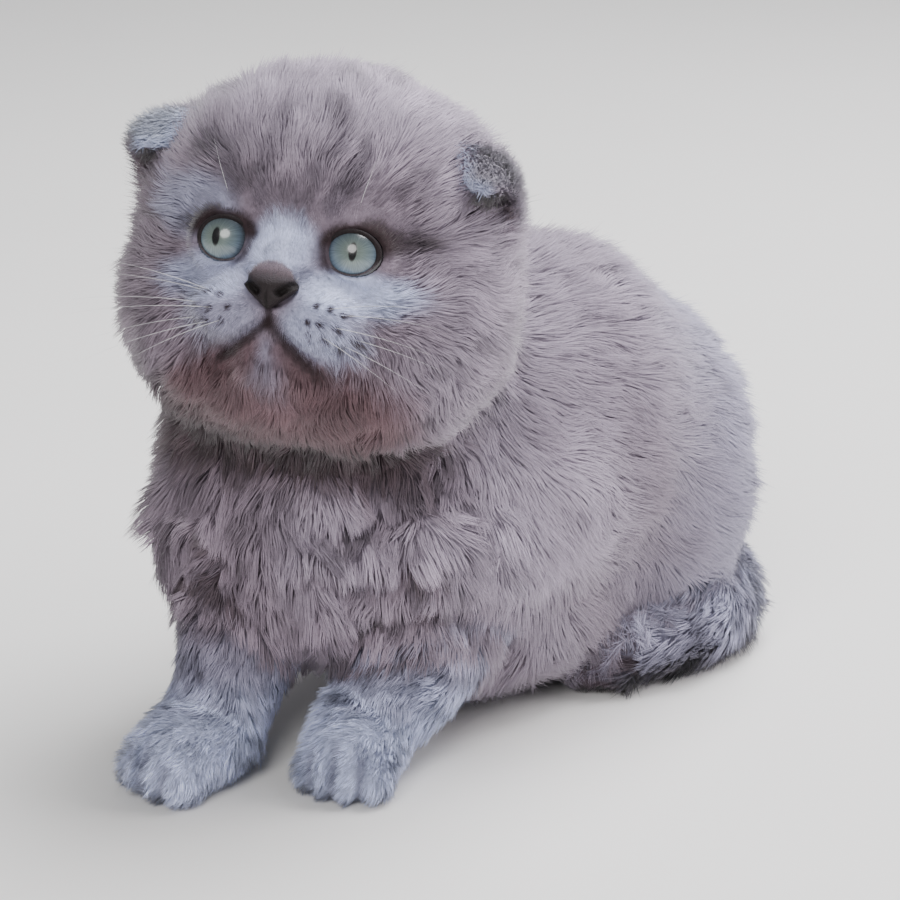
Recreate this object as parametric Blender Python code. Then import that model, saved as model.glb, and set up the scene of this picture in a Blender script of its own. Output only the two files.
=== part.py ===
"""A Scottish fold kitten of about eight weeks, which sits with its tail round its left side.

Units are metres, +Z is up and the kitten rests on z = 0. Left and right in names are the kitten's own.
The solids stand for the body out to the outer face of its plush coat. Sizes are given in the chest's frame,
in which the chest faces -Y and the kitten's left is on the +X side. STANCE then turns the whole animal, so
that its spine runs along Y, and sets the middle of its footprint on the origin.
The body is fused from rounded masses, each given by its centre, half-sizes and turn about +Z, and is then
parted into the pieces that a person would name. The head and the ears are shaped on their own. Flat locks
of the longer coat are fused to the cheeks and the chest.
"""

import math
import random

import bmesh
import bpy
import numpy as np
from mathutils import Matrix, Vector
from mathutils.bvhtree import BVHTree

GAP = 0.0003  # between two pieces that touch
DUST = 0.00002  # an edge shorter than this is closed up
COAT_COLOUR = (0.24, 0.22, 0.25)
LEATHER_COLOUR = (0.045, 0.03, 0.032)
IRIS_COLOUR = (0.26, 0.33, 0.28)
STANCE = Matrix.Translation((0.0110, -0.0077, 0.0)) @ Matrix.Rotation(math.radians(42), 4, "Z")

# ---------------------------------------------------------------- trunk
BODY_TURN = math.radians(-48)
THIGH_TURN = math.radians(-28)
CHEST_TURN = math.radians(-12)
TRUNK_MASSES = {
    "chest": ((-0.0245, -0.008, 0.056), (0.0440, 0.0297, 0.041), CHEST_TURN),
    "shoulders": ((-0.008, 0.008, 0.079), (0.041, 0.035, 0.030), CHEST_TURN),
    "ribs": ((0.000, 0.012, 0.058), (0.043, 0.042, 0.046), math.radians(-30)),
    "throat": ((-0.0262, -0.009, 0.0800), (0.0385, 0.0270, 0.0240), CHEST_TURN),
    "barrel": ((0.016, 0.024, 0.064), (0.040, 0.044, 0.044), BODY_TURN),
    "rump": ((0.0345, 0.047, 0.045), (0.0425, 0.037, 0.0455), BODY_TURN),
    "belly": ((0.004, 0.020, 0.025), (0.037, 0.042, 0.0262), BODY_TURN),
    "upper arm left": ((0.008, -0.003, 0.046), (0.019, 0.020, 0.030), CHEST_TURN),
    "upper arm right": ((-0.052, 0.000, 0.052), (0.016, 0.020, 0.030), CHEST_TURN),
    "thigh left": ((0.034, 0.032, 0.031), (0.021, 0.026, 0.032), THIGH_TURN),
    "thigh right": ((0.006, 0.062, 0.031), (0.021, 0.027, 0.032), BODY_TURN),
}
# How each fused form is meshed: the size of its cells, the rounds of smoothing and the triangles left.
TRUNK_MESH = (0.0034, 12, 1700)
FORELEG_MESH = (0.0019, 3, 520)
HIND_FOOT_MESH = (0.0019, 3, 320)
TAIL_MESH = (0.0022, 4, 500)
NECK_CUT = ((-0.012, -0.002, 0.0865), (-0.22, -0.34, 0.91))
THIGH_CUT_LEFT = ((0.046, 0.030, 0.030), (0.024, 0.030, 0.038), THIGH_TURN)
THIGH_CUT_RIGHT = ((-0.002, 0.071, 0.030), (0.026, 0.031, 0.038), BODY_TURN)

# ---------------------------------------------------------------- legs
# Centres along each limb with the radius of the coat-covered limb there, from the top down to the toes.
FORELEG_LEFT = (
    ((0.008, -0.002, 0.046), 0.0180),
    ((0.000, -0.012, 0.032), 0.0165),
    ((-0.010, -0.023, 0.019), 0.0143),
    ((-0.0185, -0.0305, 0.0118), 0.0122),
    ((-0.0215, -0.0385, 0.0078), 0.0114),
)
FORELEG_RIGHT = (
    ((-0.044, -0.004, 0.052), 0.0165),
    ((-0.0455, -0.014, 0.038), 0.0160),
    ((-0.0475, -0.022, 0.023), 0.0143),
    ((-0.0520, -0.0305, 0.0118), 0.0122),
    ((-0.0595, -0.0390, 0.0076), 0.0112),
)
HIND_FOOT_LEFT = (
    ((0.034, 0.046, 0.0100), 0.0100),
    ((0.036, 0.030, 0.0090), 0.0092),
    ((0.0350, 0.0150, 0.0072), 0.0078),
)
HIND_FOOT_RIGHT = (
    ((0.012, 0.076, 0.0100), 0.0105),
    ((-0.001, 0.066, 0.0090), 0.0095),
    ((-0.014, 0.056, 0.0072), 0.0082),
)
LIMB_STEPS = 5  # balls from each point of a limb to the next
FORE_TOE_RADIUS = 0.0052
HIND_TOE_RADIUS = 0.0048
TOES = (-1.5, -0.5, 0.5, 1.5)  # the toes' places across a paw
TOE_SPREAD = 0.48  # how far apart the toes stand, as a share of the paw's radius
TOE_REACH = (0.72, 0.12)  # how far ahead of the paw's centre a toe stands, and how much less further out
FORE_WRIST = 3  # which point of a foreleg is its wrist
SINK = 0.0008  # how far rounded undersides reach below the floor before their soles are cut flat

# ---------------------------------------------------------------- tail
TAIL_STEPS = 6
TAIL_PATH = (
    ((0.050, 0.068, 0.022), 0.0120),
    ((0.060, 0.060, 0.0135), 0.0122),
    ((0.0640, 0.047, 0.0118), 0.0124),
    ((0.0612, 0.034, 0.0112), 0.0118),
    ((0.0540, 0.0250, 0.0108), 0.0108),
    ((0.0470, 0.0185, 0.0112), 0.0094),
    ((0.0400, 0.0135, 0.0124), 0.0072),
    ((0.0335, 0.0100, 0.0134), 0.0044),
)

# ---------------------------------------------------------------- head
# All of it is given in the head's own frame, in which the face looks to -Y and the crown is on the +Z side.
HEAD_CENTRE = Vector((-0.0262, -0.020, 0.1140))
HEAD_FRAME = (
    Matrix.Translation(HEAD_CENTRE)
    @ Matrix.Rotation(math.radians(-13), 4, "Z")
    @ Matrix.Rotation(math.radians(-20), 4, "X")
    @ Matrix.Rotation(math.radians(3), 4, "Y")
)
HEAD_HALF_WIDTH = 0.0434
HEAD_MASSES = {
    "cranium": ((0.0, 0.003, 0.0060), (0.0395, 0.0345, 0.0345)),
    "forehead": ((0.0, -0.008, 0.0135), (0.034, 0.0215, 0.0265)),
    "face": ((0.0, -0.013, -0.002), (0.029, 0.0165, 0.019)),
    "cheek left": ((0.020, -0.001, -0.012), (HEAD_HALF_WIDTH - 0.020, 0.0255, 0.022)),
    "cheek right": ((-0.020, -0.001, -0.012), (HEAD_HALF_WIDTH - 0.020, 0.0255, 0.022)),
    "bridge of the nose": ((0.0, -0.0265, -0.0040), (0.0080, 0.0110, 0.0080)),
    "jaw ruff": ((0.0, -0.007, -0.0250), (0.0365, 0.0225, 0.0152)),
    "nape": ((0.0, 0.012, -0.012), (0.035, 0.026, 0.028)),
    "whisker pad left": ((0.0082, -0.0300, -0.0140), (0.0100, 0.0085, 0.0064)),
    "whisker pad right": ((-0.0082, -0.0300, -0.0140), (0.0100, 0.0085, 0.0064)),
    "chin": ((0.0, -0.0265, -0.0222), (0.0085, 0.0085, 0.0056)),
}
HEAD_SOFTNESS = 0.0016
HEAD_REACH = (0.010, 0.080)  # nearest and furthest that the head's surface lies from its centre
HEAD_ROUNDS = 26  # how often that range is halved to find the surface
FACE_BANDS = (-0.45, -0.70, -0.84)  # ahead of each of these, on a ball of radius 1, the faces are made finer
EYE_CENTRE = Vector((0.0130, -0.0235, 0.0))
EYE_RADIUS = 0.0078
EYE_OUTWARD = math.radians(12)
LID_HALF_WIDTH = 0.0058
LID_HALF_HEIGHT = 0.0048
LID_RADIUS = 0.0012
LID_INNER = 0.8  # how much of its radius a rim stands out from its own middle line into the opening
NOSE_CENTRE = Vector((0.0, -0.0378, -0.0088))
NOSE_HALF = (0.0056, 0.0030, 0.0043)
NOSE_FOOT = 0.55  # the leather's width at its foot, as a share of its width higher up
NOSE_SHOULDER = 0.62  # where the leather is widest; 0.5 is its top
NOSTRIL = ((0.0031, -0.0405, -0.0096), (0.0011, 0.0022, 0.0009))
MOUTH_GROOVE = 0.0007
MOUTH_HALF_WIDTH = 0.0112
MOUTH_TOP = -0.0153
MOUTH_DROP = 0.0070
MOUTH_CURL = 1.3  # how late the mouth's line turns down
MOUTH_STEPS = 8
SPLIT_STEP = 0.0006  # between the points of the short split from the mouth up to the nose
SPLIT_STEPS = range(-1, 5)
SPLIT_SHARE = 0.7  # the split's radius as a share of the mouth's

# The ear as rows from its base to its tip. Each row has a front, a middle and a rear point.
EAR_ROWS = (
    ((0.0240, -0.0050, 0.0235), (0.0310, 0.0040, 0.0190), (0.0370, -0.0010, 0.0030)),
    ((0.0265, -0.0070, 0.0265), (0.0365, 0.0010, 0.0245), (0.0400, -0.0020, 0.0075)),
    ((0.0285, -0.0100, 0.0285), (0.0385, -0.0050, 0.0250), (0.0405, -0.0050, 0.0130)),
    ((0.0300, -0.0135, 0.0260), (0.0380, -0.0110, 0.0220), (0.0400, -0.0100, 0.0150)),
    ((0.0335, -0.0165, 0.0175), (0.0355, -0.0165, 0.0160), (0.0375, -0.0150, 0.0140)),
)
EAR_STEPS = (3, 4)  # steps from each row to the next, and across each row
EAR_THICKNESS = (0.0034, 0.0020)  # at the base and at the tip
EAR_RIGHT_SPREAD = Vector((-0.0026, 0.0, 0.0014))  # how much further out and up the right ear's fold stands

# ---------------------------------------------------------------- locks of the longer coat
LOCK_ROWS = ((0.0, 0.80), (0.30, 1.0), (0.60, 0.96), (0.85, 0.62))  # how far along, and the share of the width
LOCK_SINK = 0.0028  # how deep a lock's root lies under the core
LOCK_RIDGE = 0.12  # a lock's thickness as a share of its width
LOCK_SHORTER = 0.09  # how much a lock is shortened at each try to clear its neighbours
LOCK_SHORTEST = 0.55  # a lock that can't clear its neighbours at this share of its length is left out
LOCK_SIZES = (0.85, 1.12)
LOCK_SWAY = 0.0015
OUTSIDE = 0.1  # a distance that is out past the coat everywhere
SEED = 8

BIB_AXIS = Vector((-0.0245, -0.004, 0.0))  # the upright line that the bib's locks grow outward from
BIB_RISE = 0.0026
BIB_LENGTH = 0.0215
BIB_WIDTH = 0.0140
BIB_DRAW_IN = 0.003  # how far the outermost locks lean towards the middle of the chest
BIB_CHANCE = (4, 0.0015)  # how far a lock may stray round the chest, in degrees, and up or down
# The bib's rows from the throat down: height, number of locks, and how far round from straight ahead they reach.
BIB_ROWS = (
    (0.0655, 7, 70),
    (0.0590, 8, 76),
    (0.0520, 7, 70),
    (0.0450, 6, 60),
    (0.0380, 5, 42),
    (0.0315, 3, 17),
)

RUFF_RISE = 0.0020
RUFF_LENGTH = 0.0150
RUFF_WIDTH = 0.0110
RUFF_HEIGHT = -0.004  # the level that the ruff's angles are taken from
RUFF_LIE = (0.35, 0.55, -0.75)  # outward, back and down
RUFF_CHANCE = (3, 0.001)  # how far a lock may stray round the cheek, in degrees, and forward or back
# The cheek ruff's rows from the face back, in the head's frame: y, how many locks, and the first and last angle
# under the ruff's level.
RUFF_ROWS = ((-0.0160, 4, 40, 82), (-0.0070, 5, 14, 74), (0.0030, 5, 6, 62), (0.0120, 4, 8, 50))


# ---------------------------------------------------------------- ways of working


def clear_scene():
    for thing in list(bpy.data.objects):
        bpy.data.objects.remove(thing, do_unlink=True)


def finish(name, colour, roughness):
    material = bpy.data.materials.new(name)
    material.use_nodes = True
    shader = material.node_tree.nodes["Principled BSDF"]
    shader.inputs["Base Color"].default_value = (*colour, 1.0)
    shader.inputs["Roughness"].default_value = roughness
    shader.inputs["Metallic"].default_value = 0.0
    return material


def new_object(name, bm, frame=None):
    """Turns a bmesh into an object of the scene, in the given frame, and frees the bmesh."""
    mesh = bpy.data.meshes.new(name)
    bm.to_mesh(mesh)
    bm.free()
    if frame is not None:
        mesh.transform(frame)
    thing = bpy.data.objects.new(name, mesh)
    bpy.context.scene.collection.objects.link(thing)
    return thing


def remove(*things):
    for thing in things:
        bpy.data.objects.remove(thing, do_unlink=True)


def apply_modifiers(thing):
    graph = bpy.context.evaluated_depsgraph_get()
    mesh = bpy.data.meshes.new_from_object(thing.evaluated_get(graph))
    thing.modifiers.clear()
    thing.data = mesh


def linked_groups(bm):
    """The faces of a bmesh in groups that share edges."""
    bm.faces.ensure_lookup_table()
    seen = set()
    for first in bm.faces:
        if first.index in seen:
            continue
        seen.add(first.index)
        group = [first]
        for face in group:
            for edge in face.edges:
                for other in edge.link_faces:
                    if other.index not in seen:
                        seen.add(other.index)
                        group.append(other)
        yield group


def volume_of(group):
    """Signed room inside a closed group of triangles."""
    return sum(
        a.co.dot(b.co.cross(c.co)) / 6 for a, b, c in (face.verts for face in group)
    )


def keep_largest(thing):
    """Leaves only the closed surface with the most room inside it, in triangles."""
    bm = bmesh.new()
    bm.from_mesh(thing.data)
    bmesh.ops.triangulate(bm, faces=bm.faces[:])
    bmesh.ops.dissolve_degenerate(bm, edges=bm.edges[:], dist=DUST)
    bmesh.ops.triangulate(bm, faces=bm.faces[:])
    groups = sorted(linked_groups(bm), key=volume_of)
    bmesh.ops.delete(bm, geom=[face for group in groups[:-1] for face in group], context="FACES")
    bm.to_mesh(thing.data)
    bm.free()


def boolean(thing, other, operation, solver="EXACT"):
    modifier = thing.modifiers.new(operation.lower(), "BOOLEAN")
    modifier.object = other
    modifier.operation = operation
    modifier.solver = solver
    apply_modifiers(thing)


def copy_of(thing, name):
    twin = thing.copy()
    twin.data = thing.data.copy()
    twin.name = name
    bpy.context.scene.collection.objects.link(twin)
    return twin


def swollen(thing, by=GAP):
    """A copy of a piece whose surface stands further out by the given distance."""
    twin = copy_of(thing, thing.name + "_swollen")
    modifier = twin.modifiers.new("swell", "DISPLACE")
    modifier.strength = by
    modifier.mid_level = 0.0
    apply_modifiers(twin)
    return twin


def cut_clear(thing, *neighbours):
    """Cuts a piece back to the gap from each of its neighbours."""
    for neighbour in neighbours:
        cutter = swollen(neighbour)
        boolean(thing, cutter, "DIFFERENCE")
        remove(cutter)
    keep_largest(thing)


def add_ball(bm, centre, half_sizes, turn=0.0, detail=3):
    place = Matrix.Translation(centre) @ Matrix.Rotation(turn, 4, "Z") @ Matrix.Diagonal((*half_sizes, 1.0))
    bmesh.ops.create_icosphere(bm, subdivisions=detail, radius=1.0, matrix=place)


def between(before, start, end, after, t):
    """A point on the smooth curve that runs through start and end."""
    return 0.5 * (
        2 * start
        + (end - before) * t
        + (2 * before - 5 * start + 4 * end - after) * t**2
        + (3 * start - before - 3 * end + after) * t**3
    )


def smooth_run(points, steps):
    """Points on a smooth curve through all the given ones, with this many steps from each to the next."""
    padded = [points[0] * 2 - points[1], *points, points[-1] * 2 - points[-2]]
    run = [between(*padded[i : i + 4], k / steps) for i in range(len(points) - 1) for k in range(steps)]
    return run + [points[-1]]


def fuse(name, bm, voxel, smoothing, faces):
    """Fuses overlapping balls into one smooth closed surface of about the given number of triangles."""
    thing = new_object(name, bm)
    remesh = thing.modifiers.new("remesh", "REMESH")
    remesh.mode = "VOXEL"
    remesh.voxel_size = voxel
    smooth = thing.modifiers.new("smooth", "SMOOTH")
    smooth.factor = 0.5
    smooth.iterations = smoothing
    apply_modifiers(thing)
    count = sum(len(polygon.vertices) - 2 for polygon in thing.data.polygons)
    decimate = thing.modifiers.new("decimate", "DECIMATE")
    decimate.ratio = min(1.0, faces / count)
    apply_modifiers(thing)
    return thing


def keep_side(thing, point, normal):
    """Keeps the side of a plane that its normal points to, and closes the cut."""
    bm = bmesh.new()
    bm.from_mesh(thing.data)
    everything = bm.verts[:] + bm.edges[:] + bm.faces[:]
    cut = bmesh.ops.bisect_plane(bm, geom=everything, plane_co=point, plane_no=normal, clear_inner=True)
    rim = [item for item in cut["geom_cut"] if isinstance(item, bmesh.types.BMEdge)]
    bmesh.ops.holes_fill(bm, edges=rim, sides=0)
    bm.to_mesh(thing.data)
    bm.free()
    keep_largest(thing)


def part_with_plane(thing, name, point, normal):
    """Splits a piece in two with a thin flat cut, and returns the new piece on the normal's side."""
    point = Vector(point)
    normal = Vector(normal).normalized()
    far = copy_of(thing, name)
    keep_side(far, point + normal * GAP / 2, normal)
    keep_side(thing, point - normal * GAP / 2, -normal)
    return far


def part_with_ball(thing, name, centre, half_sizes, turn):
    """Splits a rounded piece off along a ball's surface, with the gap between, and returns it."""
    far = copy_of(thing, name)
    for piece, operation, more in ((far, "INTERSECT", 0.0), (thing, "DIFFERENCE", GAP)):
        bm = bmesh.new()
        add_ball(bm, centre, [half + more for half in half_sizes], turn)
        cutter = new_object("cutter", bm)
        boolean(piece, cutter, operation)
        remove(cutter)
        keep_largest(piece)
    return far


def surface_of(thing):
    bm = bmesh.new()
    bm.from_mesh(thing.data)
    tree = BVHTree.FromBMesh(bm)
    bm.free()
    return tree


def is_clear(bm, surfaces):
    """Whether a small closed mesh keeps the gap from closed surfaces."""
    own = BVHTree.FromBMesh(bm)
    for surface in surfaces:
        if own.overlap(surface):
            return False
        for vertex in bm.verts:
            if surface.find_nearest(vertex.co)[3] < 2 * GAP:
                return False
    return True


def lock_shape(surface, root, out, lie, length, width, rise, sway):
    """A flat lock with a ridge, which leaves the core at a low angle and bends round it to a pointed tip."""
    side = out.cross(lie).normalized()
    bm = bmesh.new()
    rows = []
    for along, breadth in (*LOCK_ROWS, (1.0, 0.0)):
        place, under, _, _ = surface.find_nearest(root + lie * length * along + side * sway * along**2)
        up = (out * (1 - along) + under * (1 + along)).normalized()
        spine = place + up * ((rise + LOCK_SINK) * math.sin(along * math.pi / 2) - LOCK_SINK)
        half = side * width * breadth / 2
        ridge = up * width * breadth * LOCK_RIDGE
        points = (spine - half, spine + ridge, spine + half) if breadth else (spine,)
        rows.append([bm.verts.new(point) for point in points])
    tip = rows.pop()[0]
    bm.faces.new(rows[0])
    for row, after in zip(rows, rows[1:]):
        for k in range(3):
            bm.faces.new((row[k], row[(k + 1) % 3], after[(k + 1) % 3], after[k]))
    for k in range(3):
        bm.faces.new((rows[-1][k], rows[-1][(k + 1) % 3], tip))
    bmesh.ops.recalc_face_normals(bm, faces=bm.faces[:])
    bmesh.ops.triangulate(bm, faces=bm.faces[:])
    return bm


def grow_locks(thing, locks, neighbours):
    """Fuses locks to the core they grow from, each made shorter until it clears the neighbours."""
    own = surface_of(thing)
    surfaces = [surface_of(neighbour) for neighbour in neighbours]
    gathered = bpy.data.collections.new("locks")
    bpy.context.scene.collection.children.link(gathered)
    for root, out, lie, length, width, rise, sway in locks:
        share = 1.0
        while share >= LOCK_SHORTEST:
            bm = lock_shape(own, root, out, lie, length * share, width * share, rise * share, sway * share)
            if is_clear(bm, surfaces):
                lock = new_object("lock", bm)
                bpy.context.scene.collection.objects.unlink(lock)
                gathered.objects.link(lock)
                break
            bm.free()
            share -= LOCK_SHORTER
    modifier = thing.modifiers.new("locks", "BOOLEAN")
    modifier.operand_type = "COLLECTION"
    modifier.collection = gathered
    modifier.operation = "UNION"
    apply_modifiers(thing)
    remove(*gathered.objects)
    bpy.data.collections.remove(gathered)
    keep_largest(thing)


def cut_sole(thing):
    keep_side(thing, (0.0, 0.0, 0.0), (0.0, 0.0, 1.0))


# ---------------------------------------------------------------- trunk, legs and tail


def make_trunk():
    bm = bmesh.new()
    for centre, half_sizes, turn in TRUNK_MASSES.values():
        add_ball(bm, centre, half_sizes, turn)
    trunk = fuse("torso", bm, *TRUNK_MESH)
    cut_sole(trunk)
    return trunk


def add_run_of_balls(bm, path, steps):
    """Balls set close along a limb, which the fusing makes into one round tapering form."""
    centres = smooth_run([Vector((x, y, z - SINK)) for (x, y, z), radius in path], steps)
    for i, centre in enumerate(centres):
        k, t = divmod(i / steps, 1)
        start = path[int(k)][1]
        end = path[min(int(k) + 1, len(path) - 1)][1]
        radius = start + (end - start) * t
        add_ball(bm, centre, (radius, radius, radius), detail=2)


def make_limb(name, path, toe_radius, fineness):
    bm = bmesh.new()
    add_run_of_balls(bm, path, LIMB_STEPS)
    paw, breadth = Vector(path[-1][0]), path[-1][1]
    heading = paw - Vector(path[-2][0])
    heading.z = 0.0
    heading.normalize()
    sideways = Vector((-heading.y, heading.x, 0.0))
    for k in TOES:
        ahead = TOE_REACH[0] - TOE_REACH[1] * k * k
        toe = paw + heading * breadth * ahead + sideways * breadth * TOE_SPREAD * k
        toe.z = toe_radius - SINK
        add_ball(bm, toe, (toe_radius, toe_radius, toe_radius), detail=2)
    limb = fuse(name, bm, *fineness)
    cut_sole(limb)
    return limb


def make_tail():
    bm = bmesh.new()
    add_run_of_balls(bm, TAIL_PATH, TAIL_STEPS)
    tail = fuse("tail", bm, *TAIL_MESH)
    cut_sole(tail)
    return tail


# ---------------------------------------------------------------- head


def ball_distance(points, centre, half_sizes):
    """How far points lie outside a ball with three half-sizes, or less than zero inside it."""
    offset = points - np.array(centre)
    near = np.linalg.norm(offset / np.array(half_sizes), axis=1)
    slope = np.linalg.norm(offset / np.array(half_sizes) ** 2, axis=1)
    return near * (near - 1.0) / slope


def head_distance(points):
    """How far points, in the head's frame, lie outside the softly blended masses of the head."""
    each = np.stack([ball_distance(points, centre, half) for centre, half in HEAD_MASSES.values()])
    low = each.min(axis=0)
    return low - HEAD_SOFTNESS * np.log(np.exp((low - each) / HEAD_SOFTNESS).sum(axis=0))


def reach_of_head(starts, rays):
    """How far each ray runs, from its start inside the head, to the head's surface."""
    low = np.full(len(rays), HEAD_REACH[0])
    high = np.full(len(rays), HEAD_REACH[1])
    for _ in range(HEAD_ROUNDS):
        middle = (low + high) / 2
        inside = head_distance(starts + rays * middle[:, None]) < 0
        low = np.where(inside, middle, low)
        high = np.where(inside, high, middle)
    return low


def front_of_face(x, z):
    """The point of the face's surface straight ahead of a place on the head's middle plane."""
    start = np.array([[x, 0.0, z]])
    reach = reach_of_head(start, np.array([[0.0, -1.0, 0.0]]))[0]
    return Vector((x, -reach, z))


def make_head():
    """A ball with finer faces in front, whose points go out along their rays to the head's surface."""
    bm = bmesh.new()
    bmesh.ops.create_icosphere(bm, subdivisions=3, radius=1.0)
    for limit in FACE_BANDS:
        front = [edge for edge in bm.edges if all(vertex.co.y < limit for vertex in edge.verts)]
        bmesh.ops.subdivide_edges(bm, edges=front, cuts=1, use_grid_fill=True)
    bmesh.ops.triangulate(bm, faces=bm.faces[:])
    rays = np.array([vertex.co.normalized() for vertex in bm.verts])
    for vertex, ray, reach in zip(bm.verts, rays, reach_of_head(np.zeros_like(rays), rays)):
        vertex.co = Vector(ray) * reach
    return new_object("head", bm, HEAD_FRAME)


def eye_frame(side):
    """The eye's frame: -Y runs out through the pupil. side is 1 on the left and -1 on the right."""
    centre = Vector((EYE_CENTRE.x * side, EYE_CENTRE.y, EYE_CENTRE.z))
    return HEAD_FRAME @ Matrix.Translation(centre) @ Matrix.Rotation(EYE_OUTWARD * side, 4, "Z")


def make_eye(name, side):
    bm = bmesh.new()
    bmesh.ops.create_icosphere(bm, subdivisions=3, radius=EYE_RADIUS)
    return new_object(name, bm, eye_frame(side))


def make_lids(side):
    """The rims of both lids as one closed ring that follows the eye's curve."""
    steps, sides = 28, 6
    bm = bmesh.new()
    rows = []
    for i in range(steps):
        angle = math.tau * i / steps
        x, z = LID_HALF_WIDTH * math.cos(angle), LID_HALF_HEIGHT * math.sin(angle)
        rim = Vector((x, -math.sqrt(EYE_RADIUS**2 - x * x - z * z), z))
        out = rim.normalized()
        level = Vector((math.cos(angle), 0.0, math.sin(angle)))
        row = []
        for k in range(sides):
            turn = math.tau * k / sides
            row.append(bm.verts.new(rim + (level * math.cos(turn) + out * math.sin(turn)) * LID_RADIUS))
        rows.append(row)
    for i in range(steps):
        row, after = rows[i], rows[(i + 1) % steps]
        for k in range(sides):
            bm.faces.new((row[k], row[(k + 1) % sides], after[(k + 1) % sides], after[k]))
    bmesh.ops.recalc_face_normals(bm, faces=bm.faces[:])
    return new_object("lids", bm, eye_frame(side))


def make_lid_opening(side):
    """The opening between the lids, as a short plug that runs out from the middle of the eye."""
    bm = bmesh.new()
    rim = LID_RADIUS * LID_INNER
    place = (
        Matrix.Translation((0.0, -EYE_RADIUS, 0.0))
        @ Matrix.Rotation(math.pi / 2, 4, "X")
        @ Matrix.Diagonal((LID_HALF_WIDTH - rim, LID_HALF_HEIGHT - rim, 1.0, 1.0))
    )
    size = {"radius1": 1.0, "radius2": 1.0, "depth": EYE_RADIUS * 2}
    bmesh.ops.create_cone(bm, cap_ends=True, segments=24, matrix=place, **size)
    return new_object("opening", bm, eye_frame(side))


def make_nose():
    """The nose leather: wide at its top, narrow at its foot, with two nostrils cut in."""
    bm = bmesh.new()
    bmesh.ops.create_icosphere(bm, subdivisions=3, radius=1.0)
    for vertex in bm.verts:
        height = (vertex.co.z + 1) / 2
        breadth = NOSE_FOOT + (1 - NOSE_FOOT) * math.sin(height * math.pi * NOSE_SHOULDER)
        vertex.co.x *= NOSE_HALF[0] * breadth
        vertex.co.y *= NOSE_HALF[1]
        vertex.co.z *= NOSE_HALF[2]
        vertex.co += NOSE_CENTRE
    nose = new_object("nose", bm, HEAD_FRAME)
    for side in (1, -1):
        (x, y, z), half_sizes = NOSTRIL
        bm = bmesh.new()
        add_ball(bm, (x * side, y, z), half_sizes, detail=2)
        nostril = new_object("nostril", bm, HEAD_FRAME)
        boolean(nose, nostril, "DIFFERENCE")
        remove(nostril)
    keep_largest(nose)
    return nose


def make_groove(points, radius):
    """A closed thin tube through points of the head's frame, for cutting a line."""
    curve = bpy.data.curves.new("groove", "CURVE")
    curve.dimensions = "3D"
    curve.bevel_depth = radius
    curve.bevel_resolution = 1
    curve.use_fill_caps = True
    spline = curve.splines.new("POLY")
    spline.points.add(len(points) - 1)
    for place, point in zip(spline.points, points):
        place.co = (*(HEAD_FRAME @ point), 1.0)
    guide = bpy.data.objects.new("groove", curve)
    bpy.context.scene.collection.objects.link(guide)
    graph = bpy.context.evaluated_depsgraph_get()
    mesh = bpy.data.meshes.new_from_object(guide.evaluated_get(graph))
    remove(guide)
    tube = bpy.data.objects.new("groove", mesh)
    bpy.context.scene.collection.objects.link(tube)
    return tube


def cut_mouth(head):
    """Cuts the line of the mouth: one sweep under each whisker pad, and the short split up to the nose."""
    for side in (1, -1):
        sweep = []
        for i in range(MOUTH_STEPS + 1):
            t = i / MOUTH_STEPS
            drop = MOUTH_DROP * math.sin(t * math.pi / 2) ** MOUTH_CURL
            sweep.append(front_of_face(MOUTH_HALF_WIDTH * t * side, MOUTH_TOP - drop))
        groove = make_groove(sweep, MOUTH_GROOVE)
        boolean(head, groove, "DIFFERENCE")
        remove(groove)
    split = [front_of_face(0.0, MOUTH_TOP + step * SPLIT_STEP) for step in SPLIT_STEPS]
    groove = make_groove(split, MOUTH_GROOVE * SPLIT_SHARE)
    boolean(head, groove, "DIFFERENCE")
    remove(groove)


def make_ear(name, side):
    """A small ear that rises from the head and folds forward, so that its tip hangs down over its cup."""
    columns = []
    for column in range(3):
        points = []
        for i, row in enumerate(EAR_ROWS):
            x, y, z = row[column]
            spread = EAR_RIGHT_SPREAD * min(1.0, i / 2) if side < 0 else Vector()
            points.append(Vector((x * side, y, z)) + spread)
        columns.append(smooth_run(points, EAR_STEPS[0]))
    lines = [smooth_run(list(points), EAR_STEPS[1]) for points in zip(*columns)]
    bm = bmesh.new()
    grid = [[bm.verts.new(point) for point in line] for line in lines]
    for low, high in zip(grid, grid[1:]):
        for k in range(len(low) - 1):
            bm.faces.new((low[k], low[k + 1], high[k + 1], high[k]))
    bm.normal_update()
    thick = []
    for i, line in enumerate(grid):
        t = i / (len(grid) - 1)
        half = (EAR_THICKNESS[0] * (1 - t) + EAR_THICKNESS[1] * t) / 2
        thick.append([(vertex.co + vertex.normal * half, vertex.co - vertex.normal * half) for vertex in line])
    bm.free()
    return new_object(name, closed_sheet(thick), HEAD_FRAME)


def closed_sheet(pairs):
    """A closed sheet from rows of pairs of points, one on each of its faces."""
    bm = bmesh.new()
    front = [[bm.verts.new(pair[0]) for pair in line] for line in pairs]
    back = [[bm.verts.new(pair[1]) for pair in line] for line in pairs]
    for grid in (front, back):
        for low, high in zip(grid, grid[1:]):
            for k in range(len(low) - 1):
                bm.faces.new((low[k], low[k + 1], high[k + 1], high[k]))
    rims = [(front[0], back[0]), (front[-1], back[-1])]
    rims += [([line[end] for line in front], [line[end] for line in back]) for end in (0, -1)]
    for near, far in rims:
        for k in range(len(near) - 1):
            bm.faces.new((near[k], near[k + 1], far[k + 1], far[k]))
    bmesh.ops.recalc_face_normals(bm, faces=bm.faces[:])
    bmesh.ops.triangulate(bm, faces=bm.faces[:])
    return bm


# ---------------------------------------------------------------- locks


def stray(chance, by):
    return chance.uniform(-by, by)


def laid(out, lie):
    """A lie turned square to the outward direction."""
    return (lie - out * lie.dot(out)).normalized()


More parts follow.
